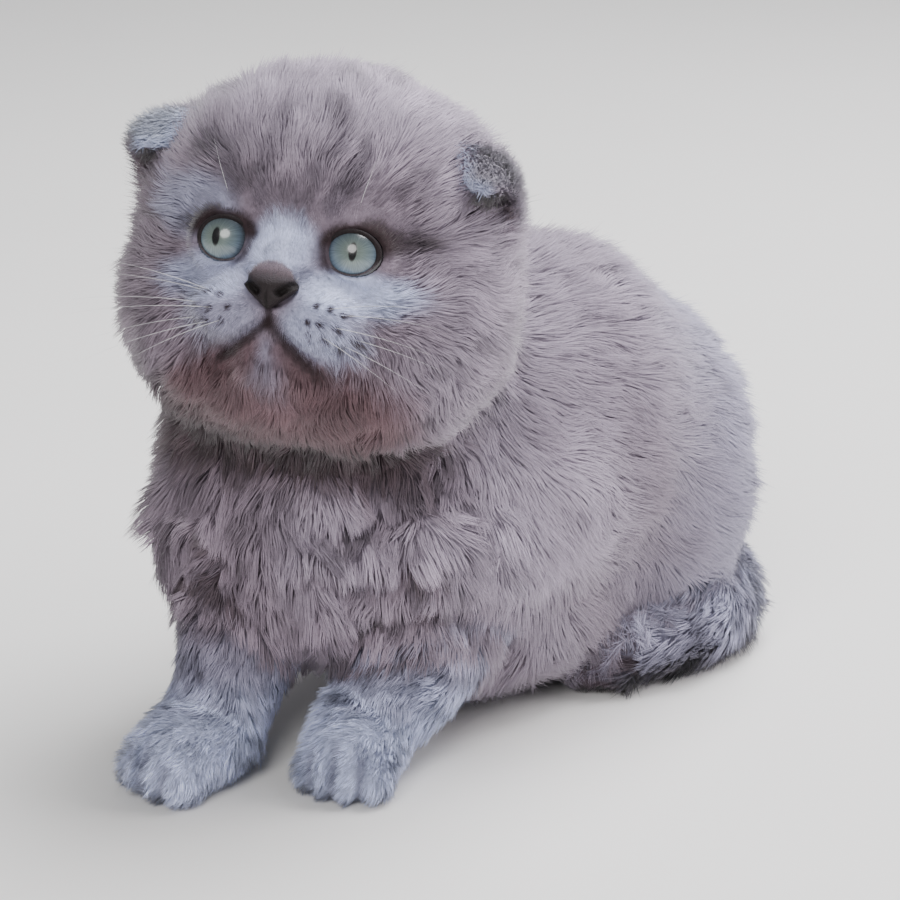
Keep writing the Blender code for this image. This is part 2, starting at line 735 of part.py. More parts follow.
def bib_locks(surface, chance):
    """Locks in rows across the chest, which hang down it and draw in a little towards its middle."""
    for height, count, spread in BIB_ROWS:
        for i in range(count):
            angle = math.radians(-spread + 2 * spread * i / (count - 1) + stray(chance, BIB_CHANCE[0]))
            level = Vector((0.0, 0.0, height + stray(chance, BIB_CHANCE[1])))
            ahead = Matrix.Rotation(CHEST_TURN + angle, 3, "Z") @ Vector((0.0, -1.0, 0.0))
            root, out, _, _ = surface.ray_cast(BIB_AXIS + level + ahead * OUTSIDE, -ahead)
            if root is None:
                continue
            out = (out + ahead).normalized()
            size = chance.uniform(*LOCK_SIZES)
            sway = -math.sin(angle) * BIB_DRAW_IN + stray(chance, LOCK_SWAY)
            lie = laid(out, Vector((0.0, 0.0, -1.0)))
            yield root, out, lie, BIB_LENGTH * size, BIB_WIDTH * size, BIB_RISE * size, sway


def ruff_locks(surface, chance):
    """Locks in rows on both cheeks, which sweep back, out and down."""
    turn = HEAD_FRAME.to_3x3()
    outward, back, down = RUFF_LIE
    for side in (1, -1):
        for depth, count, first, last in RUFF_ROWS:
            for i in range(count):
                angle = math.radians(first + (last - first) * i / (count - 1) + stray(chance, RUFF_CHANCE[0]))
                ahead = turn @ Vector((side * math.cos(angle), 0.0, -math.sin(angle)))
                start = HEAD_FRAME @ Vector((0.0, depth + stray(chance, RUFF_CHANCE[1]), RUFF_HEIGHT))
                root, out, _, _ = surface.ray_cast(start + ahead * OUTSIDE, -ahead)
                if root is None:
                    continue
                out = (out + ahead).normalized()
                size = chance.uniform(*LOCK_SIZES)
                lie = laid(out, turn @ Vector((side * outward, back, down)))
                sway = stray(chance, LOCK_SWAY)
                yield root, out, lie, RUFF_LENGTH * size, RUFF_WIDTH * size, RUFF_RISE * size, sway


# ---------------------------------------------------------------- assembly


def build():
    clear_scene()
    coat = finish("blue coat", COAT_COLOUR, 0.9)
    leather = finish("nose leather", LEATHER_COLOUR, 0.5)
    iris = finish("iris", IRIS_COLOUR, 0.1)

    torso = make_trunk()
    neck = part_with_plane(torso, "neck", *NECK_CUT)
    thigh_left = part_with_ball(torso, "hind_leg_left", *THIGH_CUT_LEFT)
    thigh_right = part_with_ball(torso, "hind_leg_right", *THIGH_CUT_RIGHT)

    head = make_head()
    eyes = [make_eye("eye_left", 1), make_eye("eye_right", -1)]
    nose = make_nose()
    for side in (1, -1):
        lids = make_lids(side)
        boolean(head, lids, "UNION")
        remove(lids)
    cut_mouth(head)
    cut_clear(head, *eyes, nose)
    for side in (1, -1):
        opening = make_lid_opening(side)
        boolean(head, opening, "DIFFERENCE")
        remove(opening)
    keep_largest(head)
    cut_clear(neck, head)
    cut_clear(torso, head)

    ears = [make_ear("ear_left", 1), make_ear("ear_right", -1)]
    for ear in ears:
        cut_clear(ear, head)

    legs = []
    for side, path in (("left", FORELEG_LEFT), ("right", FORELEG_RIGHT)):
        leg = make_limb("foreleg_" + side, path, FORE_TOE_RADIUS, FORELEG_MESH)
        cut_clear(leg, torso)
        wrist, above = Vector(path[FORE_WRIST][0]), Vector(path[FORE_WRIST - 1][0])
        paw = part_with_plane(leg, "forepaw_" + side, wrist, wrist - above)
        legs += [leg, paw]
    feet = []
    for side, path, thigh in (("left", HIND_FOOT_LEFT, thigh_left), ("right", HIND_FOOT_RIGHT, thigh_right)):
        foot = make_limb("hind_foot_" + side, path, HIND_TOE_RADIUS, HIND_FOOT_MESH)
        cut_clear(foot, torso, thigh)
        feet.append(foot)
    tail = make_tail()
    for piece in (torso, thigh_left, thigh_right, *feet):
        cut_clear(piece, tail)

    chance = random.Random(SEED)
    grow_locks(head, ruff_locks(surface_of(head), chance), (neck, torso, *ears, *eyes, nose))
    grow_locks(torso, bib_locks(surface_of(torso), chance), (neck, head, *legs))

    for piece in (torso, neck, thigh_left, thigh_right, head, *ears, *legs, *feet, tail):
        piece.data.materials.clear()
        piece.data.materials.append(coat)
    for eye in eyes:
        eye.data.materials.append(iris)
    nose.data.materials.append(leather)
    for piece in bpy.context.scene.objects:
        piece.data.transform(STANCE)
        piece.data.shade_smooth()


build()
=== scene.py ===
import math

import bmesh
import bpy
import numpy as np
from mathutils import Matrix, Vector
from mathutils.bvhtree import BVHTree
from mathutils.kdtree import KDTree


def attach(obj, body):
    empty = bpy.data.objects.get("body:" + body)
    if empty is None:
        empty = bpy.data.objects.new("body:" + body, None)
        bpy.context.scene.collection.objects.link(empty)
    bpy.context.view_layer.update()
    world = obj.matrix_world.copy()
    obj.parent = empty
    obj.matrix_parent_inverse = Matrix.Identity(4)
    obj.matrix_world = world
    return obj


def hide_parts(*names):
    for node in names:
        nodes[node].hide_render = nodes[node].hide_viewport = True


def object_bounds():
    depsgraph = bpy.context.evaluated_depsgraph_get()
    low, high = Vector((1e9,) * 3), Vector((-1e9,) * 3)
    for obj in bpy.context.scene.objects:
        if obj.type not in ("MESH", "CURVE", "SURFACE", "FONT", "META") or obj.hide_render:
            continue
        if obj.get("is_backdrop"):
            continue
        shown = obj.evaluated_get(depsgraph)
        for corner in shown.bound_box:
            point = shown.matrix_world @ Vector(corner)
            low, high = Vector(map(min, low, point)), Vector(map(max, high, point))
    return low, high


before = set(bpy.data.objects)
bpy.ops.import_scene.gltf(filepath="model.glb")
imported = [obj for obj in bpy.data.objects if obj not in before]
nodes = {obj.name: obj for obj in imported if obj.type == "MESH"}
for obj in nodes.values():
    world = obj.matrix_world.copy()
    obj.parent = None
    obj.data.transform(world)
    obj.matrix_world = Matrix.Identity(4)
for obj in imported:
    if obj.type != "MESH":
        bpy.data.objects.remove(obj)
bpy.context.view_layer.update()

# ================ stage
# A pale floor in soft studio light. The camera stands in front of the kitten's left shoulder, a little above it.
# STANCE is the turn of the chest from straight ahead, and the places below are given in the chest's own frame.

STANCE = Matrix.Translation((0.0110, -0.0077, 0.0)) @ Matrix.Rotation(math.radians(42), 4, "Z")
CAMERA_AIM = Vector((0.0, 0.0, 0.0637))
CAMERA_DISTANCE = 0.620
CAMERA_RISE = math.radians(20)
CAMERA_LENS = 111.6


def in_scene(name, data):
    """A new object in the scene."""
    item = bpy.data.objects.new(name, data)
    bpy.context.scene.collection.objects.link(item)
    return item


camera = in_scene("camera", bpy.data.cameras.new("camera"))
bpy.context.scene.camera = camera
camera.data.sensor_width = 36.0
camera.data.lens = CAMERA_LENS
camera.data.clip_start = 0.01
camera.data.clip_end = 20.0
camera_place = CAMERA_AIM + Vector((0.0, -math.cos(CAMERA_RISE), math.sin(CAMERA_RISE))) * CAMERA_DISTANCE
camera.matrix_world = STANCE @ Matrix.Translation(camera_place) @ Matrix.Rotation(math.pi / 2 - CAMERA_RISE, 4, "X")


def add_lamp(name, place, size, power, colour):
    """A round soft light at a place in the chest's frame, turned to the kitten."""
    lamp = in_scene(name, bpy.data.lights.new(name, "AREA"))
    lamp.data.shape = "DISK"
    lamp.data.size = size
    lamp.data.energy = power
    lamp.data.color = colour
    place = STANCE @ Vector(place)
    turn = (place - STANCE @ CAMERA_AIM).to_track_quat("Z", "Y")
    lamp.matrix_world = Matrix.Translation(place) @ turn.to_matrix().to_4x4()


def fed(node, **sources):
    """A node whose sockets are linked or set to the sources. _0 is its first socket, and _ stands for a space."""
    for name, source in sources.items():
        socket = node.inputs[int(name[1:])] if name[1:].isdigit() else node.inputs[name.replace("_", " ")]
        if isinstance(source, bpy.types.NodeSocket):
            node.id_data.links.new(source, socket)
        else:
            socket.default_value = source
    return node


def new_finish(name, roughness, **sockets):
    """A material, and its principled shader with the given settings."""
    finish = bpy.data.materials.new(name)
    finish.use_nodes = True
    return finish, fed(finish.node_tree.nodes["Principled BSDF"], Roughness=roughness, **sockets)


def added(shader, kind, output, settings=None, **sources):
    """One output of a new node beside a shader."""
    node = shader.id_data.nodes.new("ShaderNode" + kind)
    for name, value in (settings or {}).items():
        setattr(node, name, value)
    return fed(node, **sources).outputs[output]


def kept(shader, name, output="Color"):
    """What a mesh keeps at its points under a name."""
    return added(shader, "Attribute", output, {"attribute_name": name})


def vector(shader, operation, output="Vector", **sources):
    """The result of a sum with colours or places."""
    return added(shader, "VectorMath", output, {"operation": operation}, **sources)


def stretched(shader, value, low, high, to_low, to_high, step="LINEAR"):
    """A value brought from one range to another."""
    sources = {"From_Min": low, "From_Max": high, "To_Min": to_low, "To_Max": to_high}
    return added(shader, "MapRange", "Result", {"interpolation_type": step}, Value=value, **sources)


def mottled(shader, colour, scale, low, high):
    """Gives a shader a colour that a fine noise makes darker and lighter between two shares."""
    place = added(shader, "TexCoord", "Object")
    noise = added(shader, "TexNoise", "Fac", Vector=place, Scale=scale, Detail=3.0)
    fed(shader, Base_Color=vector(shader, "SCALE", _0=colour, Scale=stretched(shader, noise, 0.3, 0.7, low, high)))
    return noise


def add_object(name, shape, finish=None):
    """A new object from a bmesh, which is freed, or from a mesh."""
    mesh = shape
    if isinstance(shape, bmesh.types.BMesh):
        mesh = bpy.data.meshes.new(name)
        shape.to_mesh(mesh)
        shape.free()
    if finish:
        mesh.materials.append(finish)
    return in_scene(name, mesh)


add_lamp("window", (-0.28, -0.95, 0.85), 0.70, 10.5, (1.0, 0.99, 0.98))
add_lamp("ceiling", (0.35, 0.25, 1.0), 0.9, 22.0, (0.98, 0.98, 1.0))
add_lamp("fill", (1.0, 0.05, 0.50), 0.8, 8.5, (1.0, 0.96, 0.99))

world = bpy.data.worlds.new("room")
bpy.context.scene.world = world
world.use_nodes = True
fed(world.node_tree.nodes["Background"], Color=(0.94, 0.96, 1.0, 1.0), Strength=0.27)

paper, shader = new_finish("pale paper", 0.85)
mottled(shader, (0.80, 0.79, 0.775), 6.0, 0.985, 1.015)
floor_shape = bmesh.new()
bmesh.ops.create_grid(floor_shape, x_segments=1, y_segments=1, size=4.0)
floor = add_object("floor", floor_shape, paper)
floor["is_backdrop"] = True

# ================ skin
# The skin is one closed surface under the whole coat. The real one is thin loose hide over flesh. It is fused from
# copies of the body's solids, smoothed, and drawn in from the coat's tips by the depth of the coat over each part.

FLESH = [name for name in nodes if not name.startswith(("eye", "nose", "ear"))]
SAME_POINT = 0.00001
GAP_COVER = 0.00025
SKIN_VOXEL = 0.0013
COAT_DEPTH = {
    "head": 0.0027, "neck": 0.0044, "torso": 0.0042, "tail": 0.0022,
    "foreleg": 0.0026, "forepaw": 0.0010, "hind_leg": 0.0038, "hind_foot": 0.0013,
}
MUZZLE_DEPTH = 0.0007
CHEEK_DEPTH = 0.0004
HEAD = (
    STANCE
    @ Matrix.Translation((-0.0262, -0.020, 0.1140))
    @ Matrix.Rotation(math.radians(-13), 4, "Z")
    @ Matrix.Rotation(math.radians(-20), 4, "X")
    @ Matrix.Rotation(math.radians(3), 4, "Y")
)
NOSE_TIP = np.array((0.0, -0.0385, -0.0088))
NOSE_CENTRE = Vector((0.0, -0.0376, -0.0088))
NOSE_HALF = Vector((0.0055, 0.0029, 0.0044))
NOSE_SEAT = 0.0020
EYE_PLACES = {"eye_left": (0.0130, -0.0235, 0.0, 12.0), "eye_right": (-0.0130, -0.0235, 0.0, -12.0)}
EYE_RADIUS = 0.0078
OPENINGS = {"eye_left": (-0.0008, -0.0001), "eye_right": (0.0014, -0.0001)}
OPENING_HALF = (0.0049, 0.0040)
SOCKET_GAP = 0.0004
SOCKET_COVER = 0.0007
SOCKET_FLARE = 0.0040
FACE_REACH = 0.024
SKIN_FLOOR = 0.0004


def metres(lines):
    """Lines or places in millimetres, in metres. Those of the face and ears are in the head's frame, and the others
    in the chest's."""
    return [np.array(line) / 1000 for line in lines]


MOUTH = metres((
    ((0.0, -38.5, -12.0), (-0.2, -37.0, -15.0)),
    ((-0.2, -37.0, -15.0), (-4.2, -35.5, -18.2), (-8.0, -32.5, -20.5), (-11.2, -28.5, -22.2)),
    ((0.2, -37.0, -15.0), (3.0, -36.0, -18.0), (6.0, -34.2, -20.6), (8.6, -31.0, -22.2)),
))
MOUTH_DROP = 0.0022
MOUTH_WIDTH = 0.0010
FOLDS = metres((
    ((-23.9, -33.7, 57.5), (-13.1, -33.0, 59.9), (-5.3, -30.7, 63.6)),
    ((-30.4, -34.2, 49.5), (-20.8, -34.8, 46.3), (-10.6, -33.5, 48.5), (-3.0, -30.9, 48.1)),
    ((-19.9, -29.5, 34.9), (-10.7, -31.3, 39.9), (-1.7, -28.0, 37.8)),
    ((-53.0, -20.0, 52.0), (-43.0, -32.0, 48.0), (-36.0, -36.0, 44.0)),
))
FOLD_DROP = 0.0030
FOLD_WIDTH = 0.0030
TOE_GAPS = metres((
    ((-29.0, -42.5), (-32.2, -51.0)), ((-23.8, -44.5), (-26.2, -53.0)), ((-18.5, -46.0), (-20.0, -55.0)),
    ((-67.5, -40.0), (-74.5, -47.0)), ((-64.0, -44.0), (-69.5, -50.5)), ((-60.0, -47.5), (-65.0, -54.5)),
))
TOE_DROP = 0.0011
TOE_WIDTH = 0.0012


def points_from(frame_matrix, points):
    """Points of another frame as seen in the row's frame, as an array."""
    matrix = np.array(frame_matrix)
    return points @ matrix[:3, :3].T + matrix[:3, 3]


def points_in(frame_matrix, points):
    """Points of the row's frame as seen in another frame, as an array."""
    return points_from(frame_matrix.inverted(), points)


def kinds_of(names):
    """The kinds of nodes, such as foreleg, without their sides."""
    return np.array([name.removesuffix("_left").removesuffix("_right") for name in names])


def ramp(values, low, high):
    """A smooth step from 0 at low to 1 at high."""
    share = np.clip((values - low) / (high - low), 0.0, 1.0)
    return share * share * (3 - 2 * share)


def fall(values, low, high):
    """A smooth step from 1 at low to 0 at high."""
    return 1 - ramp(values, low, high)


def size_of(vectors):
    """The length of each vector."""
    return np.linalg.norm(vectors, axis=1)


def away_from(points, line):
    """How far points lie from a line of straight runs through the given places."""
    nearest = np.full(len(points), np.inf)
    for start, end in zip(line, line[1:]):
        start, run = np.array(start), np.subtract(end, start)
        share = np.clip((points - start) @ run / (run @ run), 0, 1)
        nearest = np.minimum(nearest, size_of(points - start - share[:, None] * run))
    return nearest


def beside(points, line, width):
    """How near points lie to a line: 1 on it and almost 0 from twice the width on."""
    return np.exp(-((away_from(points, line) / width) ** 2))


def opening_share(local, name):
    """How far out points of an eye's own frame lie from the middle of its opening, with 1 at the rim."""
    x, z = OPENINGS[name]
    share = np.hypot((local[:, 0] - x) / OPENING_HALF[0], (local[:, 2] - z) / OPENING_HALF[1])
    return np.where(local[:, 1] < 0, share, 9.0)


def read(rows, key, wide, kind=np.float32):
    """What the rows of a mesh hold under a key, as an array."""
    values = np.empty(len(rows) * wide, kind)
    rows.foreach_get(key, values)
    return values.reshape(-1, wide)


def read_points(mesh):
    return read(mesh.vertices, "co", 3).astype(float)


def read_normals(mesh):
    return read(mesh.vertex_normals, "vector", 3).astype(float)


def write_points(mesh, points):
    mesh.vertices.foreach_set("co", points.astype(np.float32).ravel())
    mesh.update()


def evened(values, edges, rounds, share=0.5):
    """Values at a mesh's points, each drawn several times towards the mean of its neighbours."""
    count = len(values)
    degree = np.bincount(edges.ravel(), minlength=count).astype(float)
    columns = values.reshape(count, -1)
    share = np.broadcast_to(np.asarray(share, float).reshape(-1, 1), (count, 1))
    one, other = edges.T
    for _ in range(rounds):
        total = [np.bincount(one, c[other], count) + np.bincount(other, c[one], count) for c in columns.T]
        columns = columns * (1 - share) + np.stack(total, axis=1) / degree[:, None] * share
    return columns.reshape(values.shape)


def parts_at(points):
    """The name of the node nearest to each point."""
    return np.array([face_part[parts_tree.find_nearest(Vector(point))[2]] for point in points])


def surveyed(mesh):
    """A skin's points, edges, parts and kinds of part, its points in the head's frame, how far they lie from the
    tip of the nose, and how deep in a cheek from 0 to 1."""
    points = read_points(mesh)
    part = parts_at(points)
    kind = kinds_of(part)
    places = points_in(HEAD, points)
    from_nose = size_of(places - NOSE_TIP)
    cheek = ramp(-places[:, 2], 0.004, 0.022) * ramp(from_nose, 0.026, 0.044) * (kind == "head")
    return points, read(mesh.edges, "vertices", 2, np.int32), part, kind, places, from_nose, cheek


def unwrapped(piece):
    """Lays the faces of a piece flat on its map."""
    bpy.context.view_layer.objects.active = piece
    piece.select_set(True)
    bpy.ops.object.mode_set(mode="EDIT")
    bpy.ops.mesh.select_all(action="SELECT")
    bpy.ops.uv.smart_project(angle_limit=1.15, island_margin=0.003)
    bpy.ops.object.mode_set(mode="OBJECT")


flesh_shape = bmesh.new()
face_part = []
for name in FLESH:
    solid = bmesh.new()
    solid.from_mesh(nodes[name].data)
    bmesh.ops.remove_doubles(solid, verts=solid.verts[:], dist=SAME_POINT)
    solid.normal_update()
    for point in solid.verts:
        point.co += point.normal * GAP_COVER
    swollen = bpy.data.meshes.new("swollen")
    solid.to_mesh(swollen)
    face_part += [name] * len(swollen.polygons)
    solid.free()
    flesh_shape.from_mesh(swollen)
    bpy.data.meshes.remove(swollen)
parts_tree = BVHTree.FromBMesh(flesh_shape)
for name in ("eye_left", "eye_right", "nose"):
    flesh_shape.from_mesh(nodes[name].data)
skin = add_object("skin", flesh_shape)
fused = skin.modifiers.new("fused", "REMESH")
fused.mode = "VOXEL"
fused.voxel_size = SKIN_VOXEL
skin.data = bpy.data.meshes.new_from_object(skin.evaluated_get(bpy.context.evaluated_depsgraph_get()))
skin.modifiers.clear()

skin_points, skin_edges, skin_part, skin_kind, head_points, from_nose, cheek = surveyed(skin.data)
on_head = skin_kind == "head"
coat_depth = np.array([COAT_DEPTH[kind] for kind in skin_kind])
face_depth = MUZZLE_DEPTH + (COAT_DEPTH["head"] - MUZZLE_DEPTH) * ramp(from_nose, 0.008, 0.040)
coat_depth = np.where(on_head, face_depth + CHEEK_DEPTH * cheek, coat_depth)
coat_depth = evened(coat_depth, skin_edges, 8)
softness = evened(np.where(on_head & (from_nose < 0.034), 0.10, 0.6), skin_edges, 5)
skin_points = evened(skin_points, skin_edges, 16, softness)
for _ in range(4):
    write_points(skin.data, skin_points)
    skin_points = skin_points - read_normals(skin.data) * (coat_depth / 4)[:, None]
    skin_points = evened(skin_points, skin_edges, 3, 0.6 * ramp(from_nose, 0.020, 0.034))
write_points(skin.data, skin_points)

fine = bmesh.new()
fine.from_mesh(skin.data)
nose_place = HEAD @ Vector(NOSE_TIP)
near_face = [edge for edge in fine.edges if min((point.co - nose_place).length for point in edge.verts) < FACE_REACH]
bmesh.ops.subdivide_edges(fine, edges=near_face, cuts=2, use_grid_fill=True)
fine.to_mesh(skin.data)
fine.free()
skin_points, skin_edges, skin_part, skin_kind, head_points, from_nose, cheek = surveyed(skin.data)
on_head = skin_kind == "head"
chest_points = points_in(STANCE, skin_points)
skin_points = evened(skin_points, skin_edges, 4, 0.5 * (from_nose < FACE_REACH + 0.002))
write_points(skin.data, skin_points)
groove = np.zeros(len(skin_points))
for lines, drop, width, places, there in (
    (MOUTH, MOUTH_DROP, MOUTH_WIDTH, head_points, on_head),
    (FOLDS, FOLD_DROP, FOLD_WIDTH, chest_points, ~on_head),
    (TOE_GAPS, TOE_DROP, TOE_WIDTH, chest_points[:, :2], skin_kind == "forepaw"),
):
    for line in lines:
        groove = np.maximum(groove, drop * beside(places, line, width) * there)
skin_points = skin_points - read_normals(skin.data) * groove[:, None]
eye_frames = {}
for name, (x, y, z, turn) in EYE_PLACES.items():
    eye_frames[name] = HEAD @ Matrix.Translation((x, y, z)) @ Matrix.Rotation(math.radians(turn), 4, "Z")
    local = points_in(eye_frames[name], skin_points)
    reach = size_of(local)
    share = opening_share(local, name)
    rim = ramp(share, 1.00, 1.12)
    least = (EYE_RADIUS + SOCKET_COVER) * rim
    most = EYE_RADIUS - SOCKET_GAP + (SOCKET_COVER + SOCKET_GAP) * rim
    most = most + SOCKET_FLARE * ramp(share, 1.4, 2.6) + (share > 2.6)
    skin_points = points_from(eye_frames[name], local * (np.clip(reach, least, most) / reach)[:, None])
seat = np.hypot(head_points[:, 0] / NOSE_HALF.x, (head_points[:, 2] - NOSE_CENTRE.z) / NOSE_HALF.z)
seat = fall(seat, 0.80, 1.05) * on_head * (head_points[:, 1] < 0)
skin_points = skin_points + np.array(HEAD.to_3x3() @ Vector((0.0, NOSE_SEAT, 0.0))) * seat[:, None]
skin_points[:, 2] = np.maximum(skin_points[:, 2], SKIN_FLOOR)
write_points(skin.data, skin_points)
skin.data.shade_smooth()
skin_normals = read_normals(skin.data)
head_points = points_in(HEAD, skin_points)
chest_points = points_in(STANCE, skin_points)
unwrapped(skin)

# ================ colour of the coat
# A blue coat: grey with a bluish, slightly mauve cast, paler and silvery on the muzzle, under the eyes and on the
# paws. It keeps the faint bars of a kitten's ghost tabby. Marks and whiskers are placed in millimetres.

MAUVE = np.array((0.225, 0.180, 0.224))
PALE = np.array((0.342, 0.294, 0.368))
SILVER = np.array((0.470, 0.520, 0.740))
FROST = np.array((0.640, 0.690, 0.930))
ROSY = np.array((0.135, 0.078, 0.088))
SMOKE = np.array((0.085, 0.070, 0.090))
DUSK = np.array((0.060, 0.038, 0.044))
UMBER = np.array((0.030, 0.019, 0.021))
FACE_MARKS_AND_SHADE = (
    (SMOKE, 0.72, 2.8, ((-18.8, 17.3), (-15.2, 16.3), (-12.2, 10.8))),
    (SMOKE, 0.72, 2.6, ((12.1, 18.1), (9.9, 12.1), (8.5, 8.5))),
    (SMOKE, 0.55, 2.4, ((-4.7, 24.0), (-5.7, 16.0), (-6.9, 9.0))),
    (SMOKE, 0.55, 2.4, ((6.6, 25.0), (5.5, 18.4), (4.0, 13.0))),
    (SMOKE, 0.35, 3.0, ((-5.0, 7.5), (-1.0, 9.0), (3.0, 7.5))),
    (UMBER, 0.80, 2.0, ((-15.5, 5.2), (-18.8, 3.8), (-22.0, 2.2))),
    (UMBER, 0.80, 2.2, ((15.5, 5.4), (19.0, 4.4), (24.0, 3.0))),
    (SMOKE, 0.25, 3.0, ((20.4, 4.6), (26.7, -1.1), (31.0, -5.0))),
    (UMBER, 0.45, 1.6, ((7.0, -0.5), (7.6, -2.6))),
    # Painted shade under the whisker pads, over the chin's own brownish colour.
    (ROSY, 0.75, 3.2, ((-4.0, -21.0), (-11.0, -25.5), (-19.0, -27.0))),
    (ROSY, 0.75, 3.0, ((3.0, -21.0), (9.0, -26.0), (17.0, -27.5))),
    (ROSY, 0.92, 9.5, ((-14.0, -29.5), (0.0, -32.0), (18.0, -31.0))),
    (UMBER, 0.80, 1.0, ((-0.1, -12.5), (-0.3, -15.5))),
    (UMBER, 0.82, 1.3, ((-0.3, -15.6), (-4.3, -19.2), (-8.0, -21.6), (-11.5, -23.4))),
    (UMBER, 0.82, 1.4, ((-0.3, -15.6), (2.9, -18.8), (6.0, -22.2), (9.0, -24.2))),
)
FACE_PATCHES = (
    (SILVER, 0.75, (-0.5, -1.5), (8.0, 7.5)), (SILVER, 0.70, (-14.5, -7.5), (11.0, 5.5)),
    (SILVER, 0.90, (14.5, -8.0), (11.0, 5.0)), (SILVER, 0.38, (-10.5, -14.5), (9.5, 6.0)),
    (SILVER, 0.66, (10.0, -16.0), (8.0, 6.5)), (SILVER, 0.45, (-20.0, 6.0), (9.0, 7.0)),
    (SILVER, 0.25, (0.0, -24.5), (4.0, 5.5)), (FROST, 0.55, (14.5, -7.5), (9.0, 4.0)),
    (FROST, 0.30, (-0.5, 0.0), (6.5, 6.5)),
)
# Pools of painted light on the shoulder and chest: a centre in millimetres of the chest's frame, a reach and a
# share.
PAINTED_LIGHT_PATCHES = (((20, -16, 55), 30.0, 0.85), ((-2, -30, 55), 15.0, 0.40), ((-24, -34, 56), 20.0, 0.55))
# Each whisker's root across and up, its length and its heading. They grow from dark spots, as finer hairs do.
WHISKERS = (
    (-15.1, -13.4, 29, (-1.0, 0.05, 0.02)), (-15.6, -10.8, 27, (-1.0, 0.10, 0.14)),
    (-12.0, -14.2, 30, (-1.0, -0.10, -0.05)), (-12.8, -17.0, 27, (-1.0, -0.05, -0.30)),
    (-9.4, -16.4, 22, (-0.9, -0.25, -0.42)), (-16.2, -16.2, 25, (-1.0, 0.10, -0.18)),
    (-13.0, -10.8, 24, (-1.0, -0.15, 0.26)), (13.9, -18.3, 17, (1.0, 0.15, -0.30)),
    (13.5, -15.2, 19, (1.0, 0.10, -0.05)), (14.6, -12.6, 18, (1.0, 0.15, 0.10)),
    (11.2, -17.3, 17, (0.9, -0.05, -0.40)), (15.9, -16.9, 17, (1.0, 0.30, -0.12)),
    (12.2, -11.7, 17, (1.0, -0.05, 0.25)), (-14.0, 9.5, 12, (-0.30, -0.5, 0.9)),
    (13.5, 9.5, 12, (0.30, -0.5, 0.9)),
)
SPOTS = [(x, z) for x, z, _, _ in WHISKERS if z < 0]
SPOTS += [(9.5, -11.4), (8.4, -14.8), (10.6, -15.0), (8.6, -17.2), (-10.2, -11.4), (-8.1, -13.7)]
SPOT_RADIUS = 0.66
# Painted shadow under each folded ear: its centre in millimetres of the head's frame, and its share.
PAINTED_EAR_SHADOWS = (((32.5, -11.0, 13.5), 0.75), ((-32.5, -11.0, 13.5), 0.15))
TAIL_TIP = (33.0, 11.0, 12.0)


def blend(tone, other, share):
    """A colour for each point, part of the way to another."""
    return tone * (1 - share[:, None]) + other * share[:, None]


